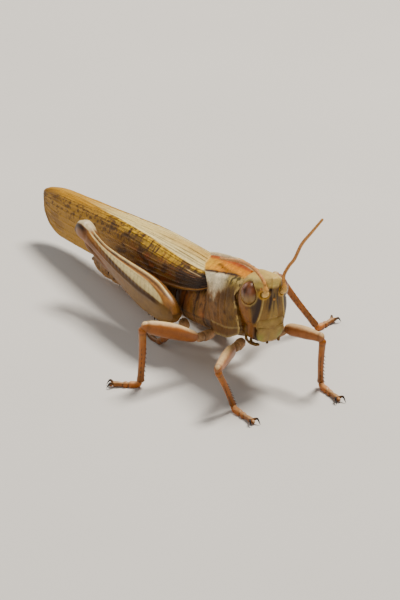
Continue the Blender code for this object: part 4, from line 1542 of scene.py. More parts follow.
@dataclass
class Wings:
    """The folded forewings with their raised veins, and the pleated fans inside them."""

    root: float = 3.6
    tip: float = 49.56
    ridge_height: Stations = (
        (3.6, 6.9), (8, 7.25), (11, 7.55), (15, 7.7), (44, 7.75), (48, 7.3), (49.6, 6.8),
    )
    bend_out: Stations = (
        (3.6, 1.5), (9, 1.9), (20, 1.7), (30, 1.3), (44, 0.95), (48.4, 0.75), (49.6, 0.35),
    )
    bend_height: Stations = (
        (3.6, 6.1), (9, 6.35), (15.4, 6.85), (20.3, 7.2), (26, 7.4), (44, 7.35), (48, 6.95),
        (49.6, 6.5),
    )
    edge_out: Stations = (
        (3.6, 2.3), (4.4, 2.85), (6, 3.4), (12, 3.6), (22, 3.4), (32, 2.7), (42, 1.9), (48.4, 0.98),
        (49.6, 0.4),
    )
    edge_height: Stations = (
        (3.6, 5.1), (6, 4.3), (10.1, 3.6), (20, 2.9), (32, 2.4), (43, 2.35), (46.8, 3), (48.9, 4.5),
        (49.6, 5.8),
    )
    border: Stations = ((0, 0.31), (0.2, 0.29), (0.4, 0.24), (0.6, 0.17), (0.78, 0.08), (1, 0.04))
    midline: float = 0.02
    thickness: float = 0.13
    inside: Spot = (0.4, 26, 3)
    fan_span: Span = (15, 41)
    pleats: int = 9
    trunk: Trunk = field(default_factory=Trunk)
    grid: Grid = (440, 84)
    fan_grid: Grid = (90, 120)
    shares: Sequence[float] = (0.0, 0.3, 0.6, 1.0)
    veins: Sequence[tuple[float, float]] = (
        (0.06, 0.09), (0.12, 0.15), (0.18, 0.205), (0.24, 0.26), (0.3, 0.3), (0.37, 0.35), (0.45, 0.41),
        (0.5, 0.48), (0.58, 0.56), (0.62, 0.66), (0.72, 0.76), (0.82, 0.86), (0.93, 0.94),
    )

    def section(self, y: Array) -> tuple[Array, Array]:
        """The four stations of a forewing's section, as outs and heights.

        Args:
            y: Places along the body.

        Returns:
            The outs and the heights.
        """
        bend_x, bend_z = smooth(self.bend_out, y), smooth(self.bend_height, y)
        edge_x, edge_z = smooth(self.edge_out, y), smooth(self.edge_height, y)
        outs = (np.full_like(y, self.midline), bend_x, bend_x * 0.35 + edge_x * 0.68, edge_x)
        return outs, (smooth(self.ridge_height, y), bend_z, bend_z * 0.62 + edge_z * 0.38, edge_z)

    def surface(self, u: Array, v: Array, side: Side) -> Array:
        """The plain forewing of a side.

        Args:
            u: Shares along the shape.
            v: Shares across or round it.
            side: The side.

        Returns:
            The points.
        """
        y = self.root + (self.tip - self.root) * u
        across = np.clip(v, 0, 1)
        outs, heights = self.section(y)
        return mirrored(stack(curve(self.shares, outs, across), y, curve(self.shares, heights, across)), side)

    def vein_field(self, at: Spots) -> Array:
        """How near each point is to a long vein, from 0 to 1.

        Args:
            at: The shell's points.

        Returns:
            The nearness.
        """
        u, v = at.u, at.v
        near = np.zeros_like(u)
        for root, tip in self.veins:
            line = root + (tip - root) * u + 0.012 * np.sin(u * 9 + root * 40)
            near = np.maximum(near, ridge(v - line, 0.0075))
        return near

    def relief(self, at: Spots) -> Array:
        """Raised long veins, low cross-veins and a little sag between.

        Args:
            at: The shell's points.

        Returns:
            How far out each point moves.
        """
        u, v = at.u, at.v
        cross = ridge((((u * 95 + 3 * np.sin(v * 30)) + 0.5) % 1.0) - 0.5, 0.13) * fade(0.3, 0.34, v)
        sag = Mottle(41).rich(u * 16, v * 9) - 0.5
        edge = fade(0.0, 0.02, v)
        return edge * (0.075 * self.vein_field(at) + 0.025 * cross + 0.05 * sag)

    def paint(self, at: Spots) -> Coat:
        """A pale back, a golden strip under the bend, and a side mottled dark from root to middle.

        Args:
            at: The shell's points.

        Returns:
            The colours.
        """
        u, v = at.u, at.v
        spread = Mottle(42).rich(u * 34, v * 16)
        blotch = Mottle(43).rich(u * 22 + 3, v * 7 + 11)
        fleck = Mottle(44).rich(u * 110, v * 26)
        bars = Mottle(45).rich(u * 120, v * 5)
        near = self.vein_field(at)
        border = smooth(self.border, u)
        back = Coat.of(Tone.STRAW, at).lay(Tone.CREAM, 0.9 * fade(0.35, 0.9, v / border))
        back.lay(Tone.GOLD, 0.6 * fade(0.6, 0.2, v / border) * fade(0.5, 0.05, u))
        back.lay(Tone.LOBE, 0.55 * near * fade(0.5, 0.1, u) + 0.2 * near + 0.15 * fade(0.5, 0.65, spread))
        below = v - border
        side = Coat.of(Tone.HONEY, at).lay(Tone.GOLD, 0.4 * fade(0.5, 0.7, spread))
        strip = fade(0.28, 0.08, below + 0.12 * (0.5 - spread)) * fade(0.78, 0.5, u) * fade(0.04, 0.1, u)
        middle = fade(0.66, 0.3, u)
        side.lay(Tone.EARTH, 0.8 * middle * fade(0.08, 0.2, below) + 0.22 * fade(0.45, 0.6, spread))
        side.lay(Tone.RUST, 0.3 * fade(0.5, 0.65, spread) * fade(0.55, 0.25, u) * fade(0.1, 0.2, below))
        side.lay(Tone.BARK, 0.85 * fade(0.46, 0.6, blotch) * fade(0.75, 0.4, u) * fade(0.03, 0.12, below))
        side.lay(Tone.SUN, 0.7 * strip * fade(0.66, 0.52, bars))
        side.lay(Tone.EARTH, 0.5 * strip * fade(0.45, 0.62, fleck))
        side.lay(Tone.BARK, 0.8 * strip * fade(0.5, 0.62, 0.6 * bars + 0.4 * spread) * fade(0.0, 0.03, below))
        side.lay(Tone.UMBER, 0.9 * fade(0.24, 0.08, u) * fade(0.04, 0.12, below))
        outer = fade(0.25, 0.5, u) * fade(0.75, 0.6, v + 0.25 * (1 - u))
        side.lay(Tone.BARK, 0.75 * fade(0.55, 0.64, fleck) * outer)
        side.lay(Tone.EARTH, 0.55 * fade(0.52, 0.66, blotch) * fade(0.78, 0.9, u))
        side.lay(Tone.GOLD, 0.3 * near * fade(0.4, 0.7, u))
        side.lay(Tone.ROSE, 0.8 * near * fade(0.3, 0.1, u) * fade(0.5, 0.7, spread))
        streak = ridge(v - 0.5 + 0.5 * u, 0.01) * fade(0.05, 0.07, u) * fade(0.15, 0.11, u)
        side.lay(Tone.PINK, 0.7 * streak)
        costal = v - 0.945
        side.lay(Tone.UMBER, 0.8 * ridge(costal + 0.07, 0.04) * fade(0.3, 0.15, u))
        side.lay(Tone.TAN, 0.75 * ridge(costal, 0.03) * fade(0.26, 0.12, u))
        coat = back.lay(side, fade(-0.01, 0.015, below))
        coat.lay(Tone.CREAM, 0.7 * ridge(below + 0.012, 0.014) * fade(0.7, 0.5, u))
        gilt = Coat.of(Tone.HONEY, at).lay(Tone.GOLD, 0.6 + 0.5 * (spread - 0.5))
        coat.lay(gilt, 0.9 * fade(0.52, 0.8, u) * fade(0.36, 0.24, v))
        return coat.lay(Tone.EARTH, 0.35 * fade(0.93, 1.0, u))

    def fan(self, u: Array, v: Array, side: Side) -> Array:
        """The hindwing folded in pleats between the forewing and the body.

        Args:
            u: Shares along the shape.
            v: Shares across or round it.
            side: The side.

        Returns:
            The points.
        """
        y = self.fan_span[0] + (self.fan_span[1] - self.fan_span[0]) * u
        outs, heights = self.section(y)
        c, s = oval(v, 2.4)
        top = heights[1] - 0.5
        back = smooth(self.trunk.top, y) * np.where(y < 37, 1, 0) + 0.3
        under = np.minimum(top - 0.5, np.maximum(heights[3] + 0.35, back))
        half = np.maximum(0.12, (outs[1] - 0.5) / 2) * smooth(((0.0, 1.0), (0.8, 1.0), (1.0, 0.5)), u)
        fold = 1.0 + 0.22 * np.sin(s * self.pleats * np.pi)
        z = (top + under) / 2 + (top - under) / 2 * s
        return mirrored(stack(half + 0.1 + half * c * fold, y, z), side)

    def fan_paint(self, at: Spots) -> Coat:
        """Clear straw with brown pleats."""
        _, s = oval(at.v, 2.4)
        return Coat.of(Tone.STRAW, at).lay(Tone.EARTH, 0.5 + 0.5 * np.sin(s * self.pleats * np.pi))

    def build(self, shop: Workshop) -> None:
        """Make all four wings.

        Args:
            shop: The workshop.
        """
        for side in Side:
            inside = mirrored(self.inside, side)
            shape = Carved(partial(self.surface, side=side), self.relief, inside)
            mesh = shop.plate(self.grid, shape, self.paint, inside, self.thickness)
            shop.piece(f"forewing_{side.word}", mesh, FOREWING_FILM, [f"tegmen_{side.word}"])
            mesh = shop.shell(self.fan_grid, partial(self.fan, side=side), self.fan_paint)
            shop.piece(f"hindwing_fan_{side.word}", mesh, FAN_FILM, [f"hindwing_{side.word}"])


@dataclass
class Foot:
    """A foot of three pads with two claws and a cushion between them."""

    half: float = 0.36
    rests: Sequence[Span] = ((0, 0.9), (0.45, 0.9), (0.75, 1.15), (0.9, 1.15))
    wide: Taper = Taper((
        (0, 0.3), (0.1, 0.36), (0.3, 0.4), (0.4, 0.38), (0.47, 0.27), (0.54, 0.36), (0.6, 0.34), (0.66, 0.24),
        (0.8, 0.27), (0.95, 0.34), (1, 0.28),
    ), 0.05, 0.05)
    deep: Taper = Taper((
        (0, 0.32), (0.2, 0.4), (0.4, 0.42), (0.47, 0.3), (0.54, 0.4), (0.62, 0.36), (0.66, 0.28), (0.9, 0.32),
        (1, 0.3),
    ), 0.05, 0.05)
    claw_girth: Stations = ((0, 0.17), (0.4, 0.14), (1, 0.025))
    claw_reach: float = 0.62
    claw_spread: float = 0.48
    pad_girth: Taper = Taper(((0, 1.0), (1, 1.0)), 0.2, 0.6, scale=0.24)
    grid: Grid = (90, 28)
    claw_grid: Grid = (20, 12)
    pad_grid: Grid = (16, 16)

    def paint(self, at: Spots) -> Coat:
        """Orange brown, darker towards the claws, with dark joints and a paler top of painted light from
        above.

        Args:
            at: The shell's points.

        Returns:
            The colours.
        """
        coat = Coat.of(Tone.ORANGE, at).lay(Tone.EARTH, fade(0.2, 0.9, at.u) * 0.7)
        coat.lay(Tone.BARK, 0.7 * ridge(at.u - 0.47, 0.025) + 0.7 * ridge(at.u - 0.66, 0.025))
        # Painted light on the top of the foot.
        return coat.lay(Tone.PINK, 0.35 * fade(0.3, 0.9, np.sin(2 * np.pi * at.v)))

    def hind_paint(self, at: Spots) -> Coat:
        """Duller than the other feet, with the same painted shade as the hind shin."""
        # Painted shade over the whole hind foot.
        return self.paint(at).lay(Tone.EARTH, 0.55)

    def claw_paint(self, at: Spots) -> Coat:
        """Brown with a black tip."""
        return Coat.of(Tone.EARTH, at).lay(Tone.INK, fade(0.2, 0.6, at.u))

    def sweep(self, points: Sequence[Array], wide: Girth, deep: Girth, power: float = 2.0) -> Swept:
        """A part of the foot along some points, with nothing below the floor."""
        return Swept(Route(points), wide, deep, (0, 0, 1), power, 0.0)

    def claw(self, shop: Workshop, base: Array, heading: Array, across: Array, length: float) -> Mesh:
        """Make one claw.

        Args:
            shop: The workshop.
            base: The point between the claws' roots.
            heading: The foot's direction.
            across: The direction out to the claw's own side.
            length: The foot's length.

        Returns:
            The claw's mesh.
        """
        root = base - heading * 0.2 + across * 0.12
        tip = root + heading * (length * 0.08 + self.claw_reach) + across * self.claw_spread
        bow = (root + tip) / 2 + np.array([0, 0, 0.26]) + across * 0.12
        shape = self.sweep([root, bow, np.array([tip[0], tip[1], 0.1])], self.claw_girth, self.claw_girth)
        return shop.shell(self.claw_grid, shape, self.claw_paint, False)

    def build(
        self, shop: Workshop, pair: Pair, side: Side, ankle: Array, toe: Array, landing: float, rise: float,
    ) -> None:
        """Make one foot from the ankle to the claws.

        Args:
            shop: The workshop.
            pair: The pair of legs.
            side: The side.
            ankle: Where the shin ends.
            toe: Where the foot ends.
            landing: The share of the foot's length that hangs before its first pad.
            rise: How far above the ankle the foot begins.
        """
        heading = unit(np.array([toe[0] - ankle[0], toe[1] - ankle[1], 0.0]))
        length = np.linalg.norm(toe[:2] - ankle[:2])
        points = [ankle + np.array([0, 0, rise])]
        for share, height in self.rests:
            spot = ankle + heading * length * (landing + (1 - landing) * share)
            points.append(np.array([spot[0], spot[1], self.half * height]))
        paint = self.hind_paint if pair is Pair.HIND else self.paint
        mesh = shop.shell(self.grid, self.sweep(points, self.wide, self.deep, 2.2), paint, False)
        name = f"{pair.value}_{side.word}"
        shop.piece(f"foot_{name}", mesh, LEG_HORN, [f"tarsus_{name}"])
        across = np.cross(heading, (0, 0, 1))
        parts = [self.claw(shop, points[-1], heading, across * hand, length) for hand in (1, -1)]
        cushion = [points[-1], points[-1] + heading * 0.42 - np.array([0, 0, 0.12])]
        pad = self.sweep(cushion, self.pad_girth, self.pad_girth)
        parts.append(shop.shell(self.pad_grid, pad, self.paint, False))
        shop.piece(f"claws_{name}", shop.merged(parts), JAW_HORN)


@dataclass(frozen=True)
class Spines:
    """Two rows of dark-tipped spines along a shin, between two shares of its length."""

    size: float
    girth: float
    span: Span
    count: int
    droop: float
    grid: Grid = (6, 8)

    def build(self, shop: Workshop, path: Route, upright: Array, paint: Paint) -> list[Mesh]:
        """Make the spines.

        Args:
            shop: The workshop.
            path: The shin's middle line.
            upright: The direction that the spines lean away from.
            paint: Their colours.

        Returns:
            The spines' meshes.
        """
        made = []
        ends = path(np.array([0.0, 1.0]))
        lead = unit(ends[1] - ends[0])
        across = unit(np.cross(lead, upright))
        over = np.cross(across, lead)
        taper = ((0, self.girth), (0.5, self.girth * 0.6), (1, self.girth * 0.12))
        for number in range(self.count):
            share = self.span[0] + (self.span[1] - self.span[0]) * number / (self.count - 1)
            spot = path(np.array([share]))[0]
            for hand in (1, -1):
                point = unit(across * 0.6 * hand - over * 0.75 + lead * self.droop)
                root = spot + across * 0.16 * hand - over * 0.2
                tip = root + point * self.size + lead * self.size * 0.12
                line = Route([root, root + point * self.size * 0.55, tip])
                made.append(shop.shell(self.grid, Swept(line, taper, taper, (0.3, 0.2, 1)), paint, False))
        return made


@dataclass(frozen=True)
class Hip:
    """A hip joint with its short second joint, from the trunk to the thigh."""

    girth: Taper = Taper(
        ((0, 0.6), (0.3, 1), (0.55, 1), (0.66, 0.84), (0.78, 0.9), (0.92, 0.85), (1, 0.7)),
        0.05, 0.1, scale=0.62,
    )
    sag: float = 0.15
    grid: Grid = (48, 32)

    def paint(self, at: Spots) -> Coat:
        """Olive brown with a paler top of painted light, and a dark seam before the short second joint.

        Args:
            at: The shell's points.

        Returns:
            The colours.
        """
        spread = Mottle(51).rich(at.u * 6, at.v * 8)
        coat = Coat.of(Tone.ROSE, at).lay(Tone.EARTH, 0.7 * fade(0.3, 0.7, spread))
        # Painted light on the upper side.
        coat.lay(Tone.TAN, 0.6 * fade(0.2, 1.0, np.sin(2 * np.pi * at.v)))
        coat.lay(Tone.PINK, 0.25)
        return coat.lay(Tone.UMBER, 0.5 * ridge(at.u - 0.66, 0.03))

    def build(self, shop: Workshop, pair: Pair, side: Side, root: Array, end: Array) -> None:
        """Make one hip.

        Args:
            shop: The workshop.
            pair: The pair of legs.
            side: The side.
            root: Where it leaves the trunk.
            end: Where the thigh begins.
        """
        path = Route([root - unit(end - root) * 0.5, (root + end) / 2 - np.array([0, 0, self.sag]), end])
        mesh = shop.shell(self.grid, Swept(path, self.girth, self.girth, (0, 0.2, 1)), self.paint, False)
        name = f"{pair.value}_{side.word}"
        shop.piece(f"hip_{name}", mesh, PLEURA_HORN, [f"coxa_{name}"])


@dataclass
class Legs:
    """The fore and middle legs: hip, thigh, shin and foot."""

    joints: dict[tuple[Pair, Side], Sequence[Spot]] = field(default_factory=lambda: {
        (Pair.FORE, Side.RIGHT): (
            (-1.7, -0.7, 5.75), (-3, -1.2, 5.4), (-8.45, -6.95, 6.1), (-5.7, -5.8, 0.75), (-5.6, -10.4, 0),
        ),
        (Pair.FORE, Side.LEFT): (
            (1.7, -0.9, 5.75), (3.5, -2.2, 6.85), (5.1, -7.65, 7.4), (6.25, -5.4, 0.75), (5.95, -10.1, 0),
        ),
        (Pair.MID, Side.RIGHT): (
            (-2.3, 5, 4.85), (-4.6, 4.5, 4.95), (-12.2, 3.6, 8.4), (-11.7, 5.1, 0.75), (-14.75, 6.9, 0),
        ),
        (Pair.MID, Side.LEFT): (
            (2.3, 5, 4.85), (4.3, 5.6, 4.9), (9.2, 9.5, 8.2), (14.2, 8.7, 0.75), (17.6, 9.9, 0),
        ),
    })
    thigh: dict[Pair, Stations] = field(default_factory=lambda: {
        Pair.FORE: ((0, 0.46), (0.2, 0.76), (0.5, 0.76), (0.82, 0.6), (0.93, 0.58), (1, 0.45)),
        Pair.MID: ((0, 0.48), (0.12, 0.7), (0.5, 0.92), (0.8, 0.82), (0.93, 0.64), (1, 0.5)),
    })
    flat: float = 0.8
    keel: float = 0.05
    shin: dict[Pair, Stations] = field(default_factory=lambda: {
        Pair.FORE: ((0, 0.3), (0.06, 0.42), (0.14, 0.38), (0.85, 0.33), (0.97, 0.38), (1, 0.33)),
        Pair.MID: ((0, 0.34), (0.06, 0.48), (0.14, 0.44), (0.85, 0.38), (0.97, 0.42), (1, 0.36)),
    })
    landing: float = 0.12
    rise: float = 0.05
    thigh_grid: Grid = (90, 48)
    shin_grid: Grid = (70, 28)
    hip: Hip = Hip()
    spines: Spines = Spines(0.42, 0.07, (0.35, 0.92), 8, 0.9)
    foot: Foot = field(default_factory=Foot)

    def thigh_paint(self, at: Spots) -> Coat:
        """Orange brown, with painted shade below and a pale pinkish upper third, partly its own tone and
        partly painted light from above.

        Args:
            at: The shell's points.

        Returns:
            The colours.
        """
        high = np.sin(2 * np.pi * at.v)
        spread = Mottle(52).rich(at.u * 12, at.v * 8)
        coat = Coat.of(Tone.ORANGE, at).lay(Tone.ROSE, 0.45)
        # Painted shade on the underside, over a random mottle.
        coat.lay(Tone.EARTH, 0.4 * fade(-0.2, -0.9, high) + 0.2 * spread)
        # Pale upper third, partly the leg's own tone and partly painted light from above, with a painted
        # highlight along the top.
        coat.lay(Tone.PINK, 0.85 * fade(0.45, 0.85, high + 0.25 * (spread - 0.5)))
        coat.lay(Tone.CREAM, 0.4 * fade(0.85, 0.99, high))
        return coat.lay(Tone.EARTH, 0.5 * ridge(at.u - 0.93, 0.03) + 0.4 * ridge(at.u, 0.04))

    def shin_paint(self, at: Spots) -> Coat:
        """Orange brown, paler below the knee, with soft darker rings.

        Args:
            at: The shell's points.

        Returns:
            The colours.
        """
        spread = Mottle(53).rich(at.u * 14, at.v * 6)
        coat = Coat.of(Tone.ORANGE, at).lay(Tone.EARTH, 0.25 + 0.4 * spread + 0.3 * fade(0.6, 1.0, at.u))
        coat.lay(Tone.TAN, 0.4 * ridge(at.u - 0.16, 0.05))
        return coat.lay(Tone.BARK, 0.5 * ridge(at.u - 0.1, 0.02) + 0.5 * fade(0.97, 1.0, at.u))

    def hind_shin_paint(self, at: Spots) -> Coat:
        """Darker and duller than the other shins: painted shade, as the shin lies folded under the thigh."""
        return self.shin_paint(at).lay(Tone.EARTH, 0.75)

    def fore_thigh_paint(self, at: Spots) -> Coat:
        """Like the middle thigh, with a redder back."""
        return self.thigh_paint(at).lay(Tone.ROSE, 0.35)

    def limb(self, shop: Workshop, pair: Pair, side: Side) -> None:
        """Make one leg.

        Args:
            shop: The workshop.
            pair: The pair of legs.
            side: The side.
        """
        name = f"{pair.value}_{side.word}"
        root, end, knee, ankle, toe = (np.array(p, float) for p in self.joints[pair, side])
        up = np.array([0.0, 0.0, 1.0])
        self.hip.build(shop, pair, side, root, end)
        reach = unit(knee - end)
        path = Route([end - reach * 0.1, (end + knee) / 2 + up * 0.12, knee + reach * 0.12])
        deep = Taper(self.thigh[pair], 0.04, 0.05, keel=self.keel)
        wide = Taper(self.thigh[pair], 0.04, 0.05, scale=self.flat)
        paint = self.fore_thigh_paint if pair is Pair.FORE else self.thigh_paint
        mesh = shop.shell(self.thigh_grid, Swept(path, wide, deep, up, 2.3), paint, False)
        shop.piece(f"thigh_{name}", mesh, LEG_HORN, [f"femur_{name}"])
        down = unit(ankle - knee)
        top, low = knee + down * 0.15, ankle + down * 0.1
        shin = Route([top, (top + low) / 2 - np.array([math.copysign(0.1, end[0]), 0, 0]), low])
        girth = Taper(self.shin[pair], 0.05, 0.03)
        shape = Swept(shin, girth, girth, (0, 1, 0), 2.4)
        meshes = [shop.shell(self.shin_grid, shape, self.shin_paint, False)]
        meshes += self.spines.build(shop, shin, np.array([0.0, 1.0, 0.0]), self.foot.claw_paint)
        shop.piece(f"shin_{name}", shop.merged(meshes), LEG_HORN, [f"tibia_{name}"])
        self.foot.build(shop, pair, side, ankle, toe, self.landing, self.rise)

    def build(self, shop: Workshop) -> None:
        """Make the four walking legs."""
        for pair, side in self.joints:
            self.limb(shop, pair, side)


@dataclass
class HindLegs:
    """The leaping legs: a deep keeled thigh, a lobed knee and a spined shin folded below."""

    upper: Stations = (
        (8.6, 1.3), (9.1, 2.3), (10.4, 3.4), (12.3, 4.3), (15, 4.8), (20, 5.3), (24.2, 5.85), (26.6, 6.6),
        (28.2, 7.5), (29.4, 8.05), (30.6, 7.85), (31.5, 6.9),
    )
    lower: Stations = (
        (8.6, 0.6), (9.2, 0), (10.8, -0.3), (13.9, 0), (17.5, 1.05), (21.1, 2.3), (27.2, 4.8),
        (29.4, 5.5), (30.9, 5.75), (31.5, 6.3),
    )
    thick: Stations = (
        (8.6, 0.6), (10.4, 1.1), (14, 1.3), (20, 1.05), (26, 0.7), (29.3, 0.9), (31.5, 0.5),
    )
    line: Stations = ((8.6, 4.75), (11.5, 5.1), (16, 5.2))
    stripe_top: Stations = ((9.7, 0.09), (11, 0.14), (14, 0.168), (22, 0.176), (27.5, 0.18))
    stripe_low: Stations = (
        (9.7, 0.075), (12.5, 0.07), (16, 0.078), (20, 0.095), (24, 0.125), (27.5, 0.155),
    )
    brow: Stations = ((27, 0.2), (29, 0.14), (31.5, 0.12))
    root: Spot = (5.2, 8.6, 1)
    shin_top: Spot = (4.85, 30.3, 5.6)
    left_drop: float = math.radians(9.0)
    hips: Sequence[Spot] = ((3, 10.3, 4.35), (3.75, 8.5, 4.75))
    feet: dict[Side, Sequence[Spot]] = field(default_factory=lambda: {
        Side.RIGHT: ((-4.2, 10.9, 2.75), (-3.9, 17.2, 0)),
        Side.LEFT: ((4.2, 10.4, 2.5), (4.4, 16.6, 0)),
    })
    shin: Taper = Taper(
        ((0, 0.3), (0.05, 0.5), (0.12, 0.38), (0.9, 0.34), (0.97, 0.42), (1, 0.34)), 0.03, 0.02,
    )
    landing: float = 0.7
    rise: float = 0.4
    thigh_grid: Grid = (230, 110)
    shin_grid: Grid = (130, 30)
    spines: Spines = Spines(0.6, 0.1, (0.3, 0.9), 10, 0.8)
    legs: Legs = field(default_factory=Legs)

    def swung(self, points: Array, side: Side) -> Array:
        """Take points of a thigh to a side, the left one turned down about its root.

        Args:
            points: Points of a left thigh before it is turned down.
            side: The side.

        Returns:
            The points in the body's frame.
        """
        drop = self.left_drop if side is Side.LEFT else 0.0
        c, s = math.cos(drop), math.sin(drop)
        x, y, z = np.moveaxis(points - np.array(self.root), -1, 0)
        return mirrored(stack(x, y * c + z * s, z * c - y * s) + np.array(self.root), side)

    def surface(self, u: Array, v: Array, side: Side) -> Array:
        """The plain thigh of a side.

        Args:
            u: Shares along the shape.
            v: Shares across or round it.
            side: The side.

        Returns:
            The points.
        """
        y = self.station(u)
        upper, lower = smooth(self.upper, y), smooth(self.lower, y)
        c, s = oval(v, 2.25)
        x = smooth(self.line, y) + smooth(self.thick, y) * c * dome(u, 0.03, 0.03)
        return self.swung(stack(x, y, (upper + lower) / 2 + (upper - lower) / 2 * s), side)

    def turn(self, v: Array) -> Array:
        """The signed share of a turn from the thigh's outer mid-line, up to the crest at 0.25."""
        return np.where(v % 1.0 < 0.5, v % 1.0, v % 1.0 - 1.0)

    def station(self, u: Array) -> Array:
        """The place along the thigh of each point, closer together at the ends.

        Args:
            u: Shares along the shape.

        Returns:
            The places.
        """
        cosine = np.cos(np.pi * u)
        share = 0.5 - 0.5 * cosine * (0.35 + 0.65 * np.abs(cosine))
        return self.upper[0][0] + (self.upper[-1][0] - self.upper[0][0]) * share

    def relief(self, at: Spots) -> Array:
        """Keels above and below, two side keels, the fishbone between them and the knee's lobe.

        Args:
            at: The shell's points.

        Returns:
            How far out each point moves.
        """
        y = self.station(at.u)
        _, s = oval(at.v, 2.25)
        shaft = fade(10.0, 12.0, y) * fade(27.6, 26.0, y)
        a = self.turn(at.v)
        amount = 0.16 * ridge(a - 0.25, 0.012) * fade(9.5, 12.0, y) * fade(28.5, 26.5, y)
        amount += 0.08 * ridge(a + 0.25, 0.02) * shaft
        amount += shaft * 0.09 * (ridge(a - 0.17, 0.012) + ridge(a - 0.03, 0.012) + ridge(a + 0.12, 0.014))
        bone = np.abs(((y * 1.15 - np.abs(s) * 1.6) % 1.0) - 0.5) * 2
        amount += shaft * 0.05 * (bone - 0.5) * fade(0.045, 0.06, a) * fade(0.16, 0.145, a)
        lobe = np.hypot((y - 29.6) / 1.5, (s - 0.2) / 0.9)
        return amount + 0.08 * fade(1.0, 0.7, lobe) - 0.07 * ridge(lobe - 1.02, 0.08) * fade(27.5, 28.5, y)

    def paint(self, at: Spots) -> Coat:
        """A pale upper keel, a broad cream stripe edged dark, a brown lower band and a lobed knee.

        Args:
            at: The shell's points.

        Returns:
            The colours.
        """
        y = self.station(at.u)
        _, s = oval(at.v, 2.25)
        a = self.turn(at.v)
        spread = Mottle(61).rich(y * 1.1, a * 10 + 20)
        fine = Mottle(62).rich(y * 3.0, a * 30 + 20)
        coat = Coat.of(Tone.ORANGE, at).lay(Tone.EARTH, 0.8 + 0.4 * (spread - 0.5))
        coat.lay(Tone.OLIVE, 0.9 * fade(27.0, 15.0, y))
        coat.lay(Tone.TAN, fade(0.06, 0.09, a) * fade(0.35, 0.3, a))
        coat.lay(Tone.ROSE, 0.35 * fade(0.06, 0.09, a))
        coat.lay(Tone.TAN, 0.5 * fade(-0.15, -0.22, a))
        coat.lay(Tone.EARTH, 0.35 * fade(0.55, 0.68, fine))
        top, bottom, brow = smooth(self.stripe_top, y), smooth(self.stripe_low, y), smooth(self.brow, y)
        stripe = fade(-0.008, 0.006, a - bottom) * fade(0.008, -0.006, a - top)
        stripe = stripe * fade(9.7, 10.5, y) * fade(28.6, 27.0, y)
        coat.lay(Tone.CREAM, 0.95 * stripe * (0.9 + 0.3 * (spread - 0.5)))
        edge = ridge(a - bottom + 0.028, 0.026) * fade(10.0, 11.5, y) * fade(27.0, 22.0, y)
        coat.lay(Tone.BARK, 0.95 * edge)
        upper = ridge(a - 0.212, 0.02) * fade(9.2, 10.5, y) * fade(28.0, 26.0, y)
        coat.lay(Tone.BARK, 0.9 * upper)
        flecks = fade(0.19, 0.21, a) * fade(0.245, 0.235, a) * fade(0.48, 0.56, fine) * fade(17.0, 20.0, y)
        coat.lay(Tone.UMBER, 0.8 * flecks)
        coat.lay(Tone.CREAM, 0.8 * ridge(a - 0.25, 0.013) * fade(9.2, 10.6, y))
        coat.lay(Tone.EARTH, 0.7 * fade(0.262, 0.275, a))
        bone = ((y * 1.15 - np.abs(s) * 1.6) % 1.0) - 0.5
        bone = 0.25 * ridge(bone, 0.1) * fade(0.16, 0.14, a) * fade(0.02, 0.05, a) * fade(27, 25, y)
        coat.lay(Tone.EARTH, bone)
        knee = fade(27.2, 28.4, y)
        coat.lay(Tone.ROSE, 0.8 * knee)
        coat.lay(Tone.EARTH, 0.35 * knee)
        coat.lay(Tone.ORANGE, 0.5 * knee * fade(-0.02, -0.12, a))
        coat.lay(Tone.UMBER, 0.95 * knee * ridge(a - brow + 0.045, 0.05) * fade(27.6, 28.8, y))
        coat.lay(Tone.UMBER, 0.85 * fade(30.6, 31.3, y) * fade(0.1, 0.06, a))
        coat.lay(Tone.BONE, 0.95 * fade(27.4, 28.2, y) * fade(-0.01, 0.01, a - brow))
        return coat.lay(Tone.EARTH, 0.4 * fade(9.8, 9.0, y))

    def build_side(self, shop: Workshop, side: Side) -> None:
        """Make one leaping leg.

        Args:
            shop: The workshop.
            side: The side.
        """
        mesh = shop.shell(self.thigh_grid, Carved(partial(self.surface, side=side), self.relief), self.paint)
        name = f"hind_{side.word}"
        shop.piece(f"thigh_{name}", mesh, LEG_HORN, [f"femur_{name}"])
        root, end = (mirrored(p, side) for p in self.hips)
        self.legs.hip.build(shop, Pair.HIND, side, root, end)
        knee = shop.stance.tipped(self.swung(np.array(self.shin_top), side))
        ankle, toe = (np.array(p, float) for p in self.feet[side])
        along = unit(ankle - knee)
        low = ankle - along * 0.25 + np.array([0, 0, 0.6])
        under = knee + along * 2.4 - np.array([0, 0, 0.55])
        shin = Route([knee, under, (under + low) / 2 - np.array([0, 0, 0.1]), low])
        shape = Swept(shin, self.shin, self.shin, (0, 0, 1), 2.5)
        meshes = [shop.shell(self.shin_grid, shape, self.legs.hind_shin_paint, False)]
        meshes += self.spines.build(shop, shin, np.array([0.0, 0.0, 1.0]), self.legs.foot.claw_paint)
        shop.piece(f"shin_{name}", shop.merged(meshes), LEG_HORN, [f"tibia_{name}"])
        self.legs.foot.build(shop, Pair.HIND, side, ankle, toe, self.landing, self.rise)

    def build(self, shop: Workshop) -> None:
        """Make both leaping legs."""
        for side in Side:
            self.build_side(shop, side)


@dataclass(frozen=True)
class Lamp:
    """A soft square light: its size and its place to the right, ahead and up, in metres."""

    name: str
    place: Spot
    size: float
    power: float
    tint: Spot

    def build(self, right: Vector, level: Vector, aim: Vector) -> None:
        """Make the light.

        Args:
            right: The camera's direction to the right.
            level: The camera's direction ahead, along the floor.
            aim: The point that the light is turned to.
        """
        data = bpy.data.lights.new(self.name, "AREA")
        data.shape = "SQUARE"
        data.size = self.size
        data.energy = self.power
        data.color = self.tint
        made = bpy.data.objects.new(self.name, data)
        up = Vector((0.0, 0.0, 1.0))
        made.location = right * self.place[0] + level * self.place[1] + up * self.place[2]
        made.rotation_euler = (aim - made.location).to_track_quat("-Z", "Y").to_euler()
        bpy.context.scene.collection.objects.link(made)


